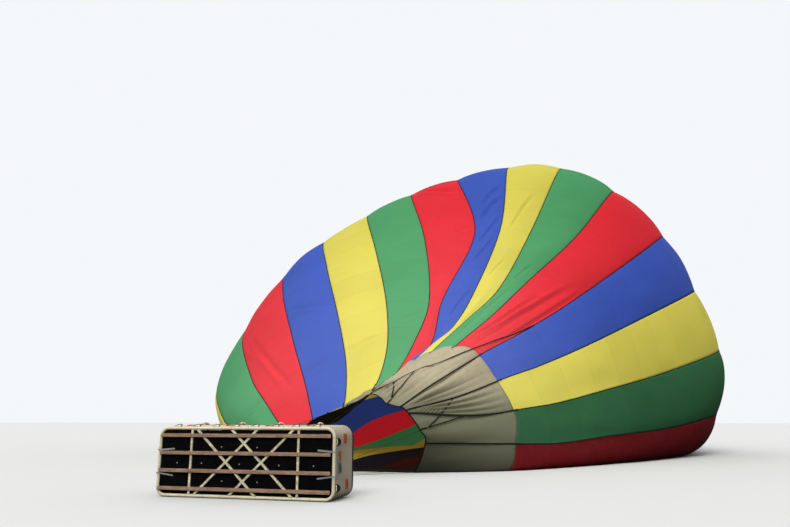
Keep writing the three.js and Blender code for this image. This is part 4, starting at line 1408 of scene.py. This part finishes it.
def woven_sheet(name, base, normal, across, up, thick, depth, finish, closed, hole=None):
    """Woven wall of two skins: base is rows of points up the wall, normal points out of it."""
    rows, columns = base.shape[:2]
    height = weave_height(across[None, :], up[:, None]) * depth
    outer = base + normal * (height - depth)[..., None]
    inner = base - normal * (thick + height - depth)[..., None]
    points = at_site(np.concatenate([outer.reshape(-1, 3), inner.reshape(-1, 3)]))
    count = rows * columns
    last = columns if closed else columns - 1
    keep = np.ones((rows - 1, last), bool)
    if hole is not None:
        for i in range(rows - 1):
            if up[i + 1] + WALL_FROM > HOLE_Y[0] and up[i] + WALL_FROM < HOLE_Y[1]:
                for j in range(last):
                    middle = (base[i, j] + base[i + 1, (j + 1) % columns]) / 2
                    keep[i, j] = not hole(middle)
    faces, uv = [], []

    def quad(corners, places):
        faces.append(corners)
        uv.extend(places)

    def place(i, j):
        return across[j] if j < columns else across[-1] + across[1] - across[0], up[i]

    for i in range(rows - 1):
        for j in range(last):
            if not keep[i, j]:
                continue
            k = (j + 1) % columns
            a, b, c, d = i * columns + j, i * columns + k, (i + 1) * columns + k, (i + 1) * columns + j
            spots = [place(i, j), place(i, j + 1), place(i + 1, j + 1), place(i + 1, j)]
            quad((a, b, c, d), spots)
            quad((a + count, d + count, c + count, b + count), [spots[0], spots[3], spots[2], spots[1]])
            sides = [((i - 1, j), (a, b), 0, 1), ((i + 1, j), (c, d), 2, 3),
                     ((i, j - 1), (d, a), 3, 0), ((i, j + 1), (b, c), 1, 2)]
            for (m, n), (p, q), sp, sq in sides:
                n = n % columns if closed else n
                if not (0 <= m < rows - 1 and 0 <= n < last) or not keep[m, n]:
                    quad((q, p, p + count, q + count), [spots[sq], spots[sp], spots[sp], spots[sq]])
    return new_piece(name, points, faces, [finish], True, uv)


def make_wicker_walls():
    """The woven wall round the whole basket, open at its footholes."""
    path = rounded_path(BASKET_L, BASKET_W, BASKET_CORNER, 0, STAKE_STEP / 2)
    run = np.roll(path, -1, 0) - np.roll(path, 1, 0)
    normal = unit(np.cross(np.array([0, 1.0, 0]), run))
    outward_side = np.sign((normal * (path - [0, 0, MID_Z])).sum(1).mean())
    normal = normal * outward_side
    step = np.linalg.norm(np.roll(path, -1, 0) - path, axis=1)
    across = np.concatenate([[0], np.cumsum(step)[:-1]])
    total = step.sum()
    across = across * (round(total / STAKE_STEP / 2) * 2 * STAKE_STEP / total)
    up = np.arange(0, WALL_TOP - WALL_FROM, WEAVER_STEP / 2)
    up[-1] = WALL_TOP - WALL_FROM
    base = path[None] + np.array([0, 1, 0.0]) * (up[:, None, None] + WALL_FROM)
    shape = np.repeat(normal[None], len(up), 0)
    # The walls swell towards the rim, except the one that lies on the ground.
    free_side = np.clip((normal[:, 2] + 0.9) / 0.5, 0, 1)
    base = base + shape * (WALL_SWELL * (up[:, None] / up[-1]) ** 0.8 * free_side)[..., None]
    if outward_side > 0:
        base, shape = base[:, ::-1], shape[:, ::-1]
        across = across[::-1].max() - across[::-1]
    piece = woven_sheet("wicker_weave", base, shape, across, up, WALL_T - WEAVE_RISE, WEAVE_RISE, WICKER,
                        True, in_hole)
    ride_as(piece, "wicker", "wicker_walls")


make_wicker_walls()


def make_foothole_trims():
    """Each foothole has a dark leather arch that stands proud, with a cane lip under it."""
    arches, lips, backs = [], [], []
    hoods = {"cane": bmesh.new(), "leather": bmesh.new()}
    for x, z, out, along in [(x, BASKET_W, (0, 0, 1), (1, 0, 0)) for x in HOLE_XS] + [
            (side * BASKET_L / 2, z, (side, 0, 0), (0, 0, 1)) for side in (-1, 1) for z in HOLE_ZS]:
        out, along = np.array(out, float), np.array(along, float)
        turn = np.linspace(0, math.pi, 15)
        rise = np.sin(turn)
        path = (np.array([x, HOLE_Y[0] - 0.004, z]) + np.outer(np.cos(turn) * (HOLE_W / 2 + 0.006), along)
                + np.outer(rise * (HOLE_Y[1] - HOLE_Y[0] + 0.02), (0, 1, 0))
                + np.outer(0.052 * rise ** 0.8 - 0.004, out))
        arches.append((path, 0.012))
        work = hoods["cane" if out[2] else "leather"]
        skins = []
        for depth in (0.0, 0.008):
            rim = [work.verts.new(v) for v in at_site(path + np.array([0, depth, 0]))]
            hub = work.verts.new(at_site((path[0] + path[-1]) / 2 + np.array([0, depth, 0]))[()])
            skins.append(rim + [hub])
        count = len(skins[0])
        for i in range(count - 2):
            work.faces.new((skins[0][i], skins[0][i + 1], skins[0][-1]))
            work.faces.new((skins[1][i + 1], skins[1][i], skins[1][-1]))
        for i in range(count):
            j = (i + 1) % count
            work.faces.new((skins[0][j], skins[0][i], skins[1][i], skins[1][j]))
        spread = np.linspace(-1, 1, 9)
        lip = (np.array([x, HOLE_Y[0] - 0.002, z]) + np.outer(spread * (HOLE_W / 2 - 0.005), along)
               + np.outer(0.016 * (1 - spread ** 4) - 0.006, out))
        lips.append((lip, 0.013))
        half = along * (HOLE_W / 2 + 0.012)
        backs.append((np.array([x, HOLE_Y[0] - 0.008, z]) - half - out * (WALL_T + 0.001),
                      np.array([x, HOLE_Y[1] + 0.012, z]) + half - out * (WALL_T - 0.006)))
    for kind, finish, slot in (("cane", CANE_PLAIN, "cane"), ("leather", BLACK_LEATHER, "black_leather")):
        bmesh.ops.recalc_face_normals(hoods[kind], faces=hoods[kind].faces[:])
        ride_as(worked(f"foothole_hoods_{kind}", hoods[kind], [finish]), slot)
    ride_as(tube_mesh("foothole_arches", arches, [BLACK_LEATHER], 8), "black_leather")
    ride_as(tube_mesh("foothole_lips", lips, [CANE], 8), "cane")
    ride_as(solid_block("foothole_backs", backs, [BLACK_LEATHER], 0.002), "black_leather")


make_foothole_trims()

# Half the pilot's bay, and the partitions' thickness, top and lengthwise reach.
BAY = 0.62
PART_T = 0.04
PART_TOP = 1.08
END_WALL = BASKET_L / 2 - WALL_T - BAY - 0.024


def make_partitions():
    """Woven cross walls at the pilot's bay, and a woven wall along the middle of each end bay."""
    for side, name in ((-1, "left"), (1, "right")):
        walls = [
            (np.array([side * BAY, 0, MID_Z]), np.array([0, 0, 1.0]), np.array([side, 0, 0.0]),
             WALL_FROM + 0.001, BASKET_W - 2 * WALL_T - 0.002),
            (np.array([side * (BAY + END_WALL / 2 + 0.02), 0, MID_Z]), np.array([1.0, 0, 0]),
             np.array([0, 0, 1.0]), 0.0845, END_WALL),
        ]
        for kind, (middle, along, normal, low, length) in zip(("cross", "lengthwise"), walls):
            count = round(length / STAKE_STEP * 2)
            spread = np.linspace(-length / 2, length / 2, count + 1)
            up = np.arange(0, PART_TOP - low, WEAVER_STEP / 2)
            up[-1] = PART_TOP - low
            if np.cross(along, (0, 1, 0)) @ normal < 0:
                along = -along
            rise = (up + low)[:, None, None] * np.array([0, 1.0, 0])
            base = middle + spread[None, :, None] * along + rise
            base = base + normal * PART_T / 2
            shape = np.broadcast_to(normal, base.shape)
            piece = woven_sheet(f"partition_{name}_{kind}", base, shape, spread + length / 2, up,
                                PART_T - WEAVE_RISE, WEAVE_RISE, WICKER_PALE, False)
            ride_as(piece, "wicker", f"partition_{name}")
            half = length / 2 - 0.012
            rail = np.linspace(-half, half, 30)[:, None] * along
            rail = middle + rail + np.array([0, PART_TOP + 0.004, 0])
            cap = tube_mesh(f"partition_cap_{name}_{kind}", [(rail, 0.027)], [BLACK_LEATHER], 14)
            ride_as(cap, "black_leather")


make_partitions()

RIM_Y = WALL_TOP + 0.0003 + RIM_R
RIM_TOP_Z = BASKET_W - WALL_T / 2


def make_padded_rim():
    """Foam roll under black leather, pulled in a little where each lacing goes round it."""
    width, middle = RIM_TOP_Z - RIM_R, (RIM_R + RIM_TOP_Z) / 2
    path = rounded_path(BASKET_L - WALL_T, width, BASKET_CORNER - WALL_T / 2, RIM_Y, 0.035, middle)
    turn = np.arange(len(path))
    radius = RIM_R * (1 - 0.035 * np.abs(np.cos(np.pi * turn / 9)) ** 6 - 0.006 * (turn % 2))
    piece = tube_mesh("padded_rim_cover", [(path, radius)], [BLACK_LEATHER], 24, closed=True)
    ride_as(piece, "black_leather", "padded_rim")
    lacing = grown("rim_lacing", path_curve("rim_path", [path], True), RINGS, Spacing=0.315,
                   Ring_Radius=RIM_R - 0.003, Wire_Radius=0.003, Ring_Sides=20, Finish=SLEEVE_CLOTH)
    ride_as(lacing, "black_leather")


make_padded_rim()

HANDLE_XS = (-1.66, -0.62, 0.42, 1.46)
HANDLE_R = 0.015


def make_handles():
    """Rope handles: each lies up the outside of the wall and is laced over the padded rim."""
    for number, x in enumerate(HANDLE_XS, 1):
        top = BASKET_W + 0.020
        rows = [(0.315, BASKET_W - 0.03), (0.34, BASKET_W - 0.004), (0.37, top - 0.002)]
        rows += [(y, top + 0.035 * (y - 0.4)) for y in np.linspace(0.41, 0.93, 9)]
        rows += [(0.99, top + 0.030), (1.04, top + 0.044), (1.09, top + 0.060)]
        turn = np.radians(np.linspace(96, -75, 12))
        over = RIM_R + 0.030
        rows += [(RIM_Y + over * math.cos(a), RIM_TOP_Z + over * math.sin(a)) for a in turn]
        rows += [(1.13, 1.500), (1.085, 1.520), (1.06, 1.548)]
        rows = np.array(rows)
        lean = 0.10 * np.linspace(0, 1, len(rows)) ** 1.4
        fine = smooth(spaced(np.c_[x - 0.05 + lean, rows], 70), 3)
        rope = tube_mesh(f"handle_rope_{number}", [(fine, HANDLE_R)], [HANDLE_ROPE], 10)
        ride_as(rope, "cane")
        grip = fine[30:58]
        swell = HANDLE_R + 0.004 + 0.012 * np.sin(np.pi * np.linspace(0, 1, len(grip))) ** 0.5
        sleeve = tube_mesh(f"handle_sleeve_{number}", [(grip, swell)], [HANDLE_HIDE], 12)
        foot = fine[4:12]
        keeper = tube_mesh(f"handle_keeper_{number}", [(foot, HANDLE_R + 0.004)], [HANDLE_RED], 10)
        for piece in (sleeve, keeper):
            ride_as(piece, "cane")


make_handles()


# Plates of an edge strap: from and to out of the wall, from and to along it, half its width.
STRAP_PLATES = ((0, 0.008, 0.115, 0.185, 0.035), (0.006, 0.014, 0.135, 0.165, 0.045))


def make_edge_straps():
    """Metal straps that tie the floor to the wall: over the board, round the roll, up the wall's foot."""
    runs, plates = [], []
    centre = BASKET_L / 2 - ROLL_R
    for side in (-1, 1):
        for z_in, z_out in ((1.09, 1.062), (0.48, 0.532)):
            rows = [(1.82, 0.061), (1.92, 0.059), (2.02, 0.053), (2.11, 0.042), (2.17, 0.031)]
            turn = np.radians(np.linspace(255, 355, 9))
            reach = np.linspace(0.046, 0.062, 9)
            rows += [(centre + r * math.cos(a), ROLL_Y + r * math.sin(a)) for a, r in zip(turn, reach)]
            rows += [(2.268, 0.12), (2.263, 0.17), (2.261, 0.24)]
            rows = np.array(rows)
            share = np.clip((rows[:, 0] - 1.82) / 0.36, 0, 1)
            mid = np.c_[side * rows[:, 0], rows[:, 1], lerp(z_in, z_out, share)]
            normal = side_of(mid, np.array([0, 0, 1.0]))
            normal *= np.sign((normal * np.array([side, -1.0, 0])).sum(1))[:, None]
            runs.append(strap(mid, side_of(mid, normal), 0.035, normal, 0.004))
            for x0, x1, y0, y1, half in STRAP_PLATES:
                x0, x1 = (side * (BASKET_L / 2 + 0.001 + x) for x in (x0, x1))
                plates.append(((x0, y0, z_out - half), (x1, y1, z_out + half)))
    ride_as(strip_mesh("edge_straps", runs, [STRAP_STEEL]), "stainless")
    ride_as(solid_block("strap_plates", plates, [STRAP_STEEL]), "stainless")


make_edge_straps()

# Hand patches on each end, y and z, and the half sizes of a patch and of its slit.
HAND_PATCHES = ((0.63, 1.335), (0.30, 0.965), (0.76, 0.33))
PATCH_HALF = (0.09, 0.11)
SLIT_HALF = (0.022, 0.06)


def make_hand_patches():
    """Tan leather patches laced to the ends of the basket, each with a bound slit for a hand."""
    pads, rings, slits = [], [], []
    for side in (-1, 1):
        for y, z in HAND_PATCHES:
            x = side * (BASKET_L / 2 + WALL_SWELL * ((y - WALL_FROM) / 0.98) ** 0.8)
            kinds = (pads, -0.012, 0.008, PATCH_HALF), (slits, 0, 0.0105, SLIT_HALF)
            for blocks, inner, outer, (h, w) in kinds:
                blocks.append(((x + side * inner, y - h, z - w), (x + side * outer, y + h, z + w)))
            turn = full_turn(24)
            path = np.c_[np.full(24, x + side * 0.012), y + 0.034 * np.sin(turn), z + 0.078 * np.cos(turn)]
            rings.append((path, 0.009))
    ride_as(solid_block("hand_patches", pads, [TAN_LEATHER], 0.004), "cane")
    ride_as(solid_block("hand_slits", slits, [BLACK_LEATHER], 0.002), "black_leather")
    ride_as(tube_mesh("hand_patch_bindings", rings, [TAN_LEATHER], 8, closed=True), "cane")


make_hand_patches()


def make_end_strop():
    """Webbing strop with a canvas sleeve on the right end, from the strap's plate to the wall."""
    x = BASKET_L / 2 + 0.012
    rows = [(x, 0.15, 1.03), (x + 0.006, 0.17, 0.94), (x + 0.012, 0.20, 0.85), (x + 0.014, 0.235, 0.77),
            (x + 0.014, 0.26, 0.68), (x + 0.012, 0.27, 0.60), (x + 0.004, 0.265, 0.55)]
    fine = smooth(spaced(rows, 40), 4)
    normal = np.broadcast_to(np.array([1.0, 0, 0]), fine.shape)
    band = strap(fine, side_of(fine, normal), 0.04, normal, 0.006)
    strop = strip_mesh("end_strop", [band], [PALE_WEBBING])
    ride_as(strop, "black_tape")
    middle = fine[14:34]
    swell = 0.012 + 0.030 * np.sin(np.pi * np.linspace(0.06, 0.94, len(middle))) ** 0.6
    sleeve = tube_mesh("end_strop_sleeve", [(middle + np.array([0.022, 0, 0]), swell)], [GREY_GREEN], 14)
    mesh = sleeve.data
    flat = np.array([v.co for v in mesh.vertices])
    flat[:, 0] = np.maximum(SITE[0] + BASKET_L / 2 + 0.001, lerp(flat[:, 0].mean(), flat[:, 0], 0.7))
    mesh.vertices.foreach_set("co", flat.ravel())
    mesh.update()
    ride_as(sleeve, "black_leather")


make_end_strop()

# Places across the floor, x and z: board bolts show pale, runner bolts dark.
BOARD_BOLTS = ((-0.58, 1.14), (0.33, 1.135), (-1.08, 0.77), (0.89, 0.75), (1.73, 0.75), (-0.53, 0.38),
               (0.37, 0.375), (-1.73, 0.77), (-0.1, 0.76))


RUNNER_BOLT_XS = (-2.07, -1.36, -0.85, -0.28, 0.28, 0.85, 1.36, 2.07)
# Turn of a bolt head or a jet whose axis runs from the basket towards the crown.
FACING = (math.pi / 2, 0, 0)


def make_bolts():
    """Bolt heads on the floor board and on the runners."""
    points = [(x, 0.0625, z) for x, z in BOARD_BOLTS]
    ride_as(grown("board_bolts", point_mesh("board_points", points), BOLTS, Head_Radius=0.016,
                  Head_Height=0.006, Turn=FACING, Finish=STRAP_STEEL), "stainless")
    points = [(x, -0.0002, z + 0.012 * math.sin(5 * x)) for z in RUNNER_ZS for x in RUNNER_BOLT_XS]
    ride_as(grown("runner_bolts", point_mesh("runner_points", points), BOLTS, Head_Radius=0.011,
                  Head_Height=0.003, Turn=FACING, Finish=DARK_STEEL), "stainless")


make_bolts()


# Fuel cylinders, burners and the poles that carry them.
CYLINDERS = [(x, z) for x in (-0.4, 0.4) for z in (WALL_T + 0.1503, BASKET_W - WALL_T - 0.1503)]
# Profile of a cylinder from its foot: a rounded foot, the wall, a domed shoulder and the collar.
CYLINDER_FOOT = 0.084
CYLINDER_R = 0.15
CYLINDER_H = 0.84
CYLINDER_BEND = 0.06
WELD_Y = 0.42
COLLAR_R = 0.06
COLLAR_TOP = 0.91


def make_cylinders():
    """Four stainless cylinders with domed ends, each welded round its middle."""
    turn = np.linspace(0, np.pi / 2, 9)
    bend, inset = CYLINDER_BEND, CYLINDER_R - CYLINDER_BEND
    foot = [(inset + bend * math.sin(a), bend * (1 - math.cos(a))) for a in turn]
    head = [(inset + bend * math.cos(a), CYLINDER_H - bend * (1 - math.sin(a))) for a in turn]
    weld = [(CYLINDER_R, WELD_Y - 0.003), (CYLINDER_R + 0.0002, WELD_Y), (CYLINDER_R, WELD_Y + 0.003)]
    collar = [(COLLAR_R, CYLINDER_H), (COLLAR_R, COLLAR_TOP - 0.004), (COLLAR_R - 0.004, COLLAR_TOP),
              (0, COLLAR_TOP)]
    profile = [(r, CYLINDER_FOOT + y) for r, y in [(0, 0), *foot, *weld, *head, *collar]]
    for number, (x, z) in enumerate(CYLINDERS, 1):
        body = turned(f"cylinder_body_{number}", [(x, z, profile)], [CYLINDER_STEEL])
        ride_as(body, "cylinder_steel", f"fuel_cylinder_{number}")


def make_cylinder_fittings():
    """A valve, its wheel and a gauge on each cylinder, and two belts that hold it to the wall."""
    valves, wheels, belts = [], [], []
    y = CYLINDER_FOOT + COLLAR_TOP
    for x, z in CYLINDERS:
        inward = 1 if z < MID_Z else -1
        for y0, y1, r in ((y - 0.01, y + 0.035, 0.024), (y + 0.035, y + 0.05, 0.012)):
            valves.append((rod((x, y0, z), (x, y1, z), 5), [r * 0.8, r, r, r, r * 0.8]))
        outlet = rod((x, y + 0.012, z + inward * 0.01), (x, y + 0.012, z + inward * 0.075), 6)
        valves.append((outlet, [0.012, 0.012, 0.016, 0.016, 0.012, 0.012]))
        gauge = rod((x + 0.015, y + 0.012, z), (x + 0.06, y + 0.012, z), 6)
        valves.append((gauge, [0.006, 0.006, 0.006, 0.022, 0.024, 0.020]))
        wave = 0.030 + 0.0025 * np.cos(8 * full_turn(24))
        wheels.append((hoop(x, y + 0.055, z, wave, 24), 0.007))
        turn = np.linspace(0, 2 * np.pi, 41)
        ring = np.c_[np.cos(turn), np.zeros(41), np.sin(turn)]
        for height in (0.33, 0.74):
            mid = np.array([x, height, z]) + ring * 0.1515
            belts.append((mid + (0, 0.024, 0), mid - (0, 0.024, 0), ring, 0.003))
    ride_as(tube_mesh("cylinder_valves", valves, [BRASS], 12), "stainless")
    ride_as(tube_mesh("valve_wheels", wheels, [BLACK_LEATHER], 8, closed=True), "black_leather")
    ride_as(strip_mesh("cylinder_belts", belts, [BLACK_TAPE]), "black_tape")


make_cylinders()
make_cylinder_fittings()

CANS = [(x, MID_Z + z) for x in (-0.23, 0.23) for z in (-0.14, 0.14)]
CAN_R = 0.130
CAN_BORE = 0.118
CAN_H = 0.33
CAN_FLOOR = 0.06
MANIFOLD_HALF = (0.47, 0.28)
PIN_ENDS = (0.27, 0.398)


def on_burners(piece, *nodes, slot="stainless"):
    """The calls of a piece that moves with the burners."""
    return ride_as(piece, slot, *nodes, body="burners")


def make_burner_block():
    """The manifold block, four open cans on it and the pins on which it rolls in the yoke."""
    long, wide = MANIFOLD_HALF
    corners = (-long, FRAME_Y - 0.045, MID_Z - wide), (long, FRAME_Y + 0.025, MID_Z + wide)
    on_burners(solid_block("burner_manifold", [corners], [STEEL], 0.006, 3), "burner_block")
    wall = [(0, 0), (CAN_R, 0), (CAN_R, CAN_H), (CAN_BORE, CAN_H), (CAN_BORE, CAN_FLOOR), (0, CAN_FLOOR)]
    profile = [(r, FRAME_Y + y) for r, y in wall]
    on_burners(turned("burner_cans", [(x, z, profile) for x, z in CANS], [STEEL]))
    pins = [(rod(*((0, FRAME_Y, MID_Z + side * end) for end in PIN_ENDS), 6), 0.012) for side in (-1, 1)]
    on_burners(tube_mesh("gimbal_pins", pins, [STEEL], 24))


# A blast lever from its valve: how far towards the middle and how far down.
LEVER = ((0, 0.10), (0.03, 0.115), (0.07, 0.14), (0.10, 0.175), (0.115, 0.22), (0.12, 0.26))


def make_burner_fittings():
    """Inside each can a coil and a ring of jets; under the block the valves and their levers."""
    paths = [rod((x, FRAME_Y + 0.10, z), (x, FRAME_Y + 0.31, z), 12) for x, z in CANS]
    on_burners(grown("burner_coils", path_curve("coil_paths", paths), RINGS, Spacing=0.026,
                     Ring_Radius=0.104, Wire_Radius=0.009, Ring_Sides=28, Finish=STEEL))
    jets = np.concatenate([hoop(x, FRAME_Y + 0.078, z, 0.055, 12) for x, z in CANS])
    on_burners(grown("burner_jets", point_mesh("jet_points", jets), BOLTS, Head_Radius=0.007,
                     Head_Height=0.03, Turn=FACING, Finish=BRASS))
    feeds, levers, hoops = [], [], []
    for x, z in CANS:
        feeds.append((rod((x, FRAME_Y - 0.043, z), (x, FRAME_Y - 0.15, z), 8),
                      [0.022, 0.022, 0.03, 0.03, 0.02, 0.02, 0.016, 0.012]))
        away = 1 if x > 0 else -1
        feeds.append((rod(*((x + away * end, FRAME_Y - 0.085, z) for end in (0.01, 0.10)), 6),
                      [0.014, 0.014, 0.018, 0.018, 0.014, 0.012]))
        lever = [(x - away * out, FRAME_Y - down, z) for out, down in LEVER]
        levers.append((np.array(lever), [0.006, 0.006, 0.006, 0.010, 0.011, 0.008]))
        hoops += [(hoop(x, FRAME_Y + y, z, CAN_R + 0.0005, 32), 0.005) for y in (0.328, 0.2, 0.085)]
    on_burners(tube_mesh("burner_valves", feeds, [BRASS], 12))
    on_burners(tube_mesh("blast_levers", levers, [BLACK_LEATHER], 10), slot="black_leather")
    on_burners(tube_mesh("can_hoops", hoops, [STEEL], 8, closed=True))


make_burner_block()
make_burner_fittings()

POLE_FOOT = (0.74, 0.70, 0.7351)
FRAME_X = 0.70
FRAME_Z = 0.48


def make_pole_sleeves():
    """Padded black sleeves over the flexible poles, closed by a band every quarter of a metre."""
    bands = []
    for number, (sx, sz) in enumerate(((-1, 1), (1, 1), (1, -1), (-1, -1)), 1):
        foot = np.array([sx * POLE_FOOT[0], POLE_FOOT[1], MID_Z + sz * POLE_FOOT[2]])
        top = np.array([sx * FRAME_X, FRAME_Y - 0.0903, MID_Z + sz * FRAME_Z])
        share = np.linspace(0, 1, 60)
        path = lerp(foot, top, share[:, None])
        radius = 0.0195 + 0.0035 * np.abs(np.sin(np.pi * share * 6)) ** 0.5 * np.minimum(1, 6 * (1 - share))
        radius[:2] = (0.014, 0.019)
        radius[-1] = 0.016
        sleeve = tube_mesh(f"pole_sleeve_{number}", [(path, radius)], [SLEEVE_CLOTH], 16)
        ride_as(sleeve, "black_sleeve", f"upright_pole_{number}")
        step = unit(top - foot) * 0.012
        for s in np.linspace(1 / 6, 5 / 6, 5):
            at = lerp(foot, top, s)
            bands.append((np.array([at - step, at - step * 0.9, at + step * 0.9, at + step]),
                          [0.018, 0.0215, 0.0215, 0.018]))
    ride_as(tube_mesh("sleeve_bands", bands, [BLACK_TAPE], 14), "black_tape")


make_pole_sleeves()

CROWN_R = 0.15
TAPE_RISE = 0.478
CROWN_Y = VENT_CENTRE[1] + 0.006 + TAPE_RISE


def make_crown():
    """The load tapes run on across the vent, over the valve, to a steel ring at the crown."""
    share = np.linspace(0, 1, 24)
    runs = []
    for gore in range(GORES):
        ray = unit(vent_point(gore) - VENT_CENTRE)
        reach = lerp(CROWN_R, VENT_R, share)
        t = reach / VENT_R
        mid = VENT_CENTRE + np.outer(reach, ray)
        dome = (1 - (t * t - t[0] ** 2)) ** 2 * (1 - t ** 6)
        mid[:, 1] = VENT_CENTRE[1] + 0.006 + TAPE_RISE * dome
        run = unit(np.gradient(mid, axis=0))
        side = unit(np.cross(run, np.array([0, 1.0, 0])))
        normal = unit(np.cross(side, run))
        normal *= np.sign(normal[:, 1:2])
        runs.append(strap(mid, side_of(mid, normal), TAPE_W, normal, TAPE_T))
    tapes = strip_mesh("vent_tapes", runs, [BLACK_TAPE])
    ride_as(tapes, "black_tape", "crown_ring_and_vent_tapes")
    path = hoop(VENT_CENTRE[0], CROWN_Y, VENT_CENTRE[2], CROWN_R, 48)
    ring = tube_mesh("crown_ring", [(path, 0.012)], [STEEL], 12, closed=True)
    ride_as(ring, "stainless", "crown_ring_and_vent_tapes")


make_crown()
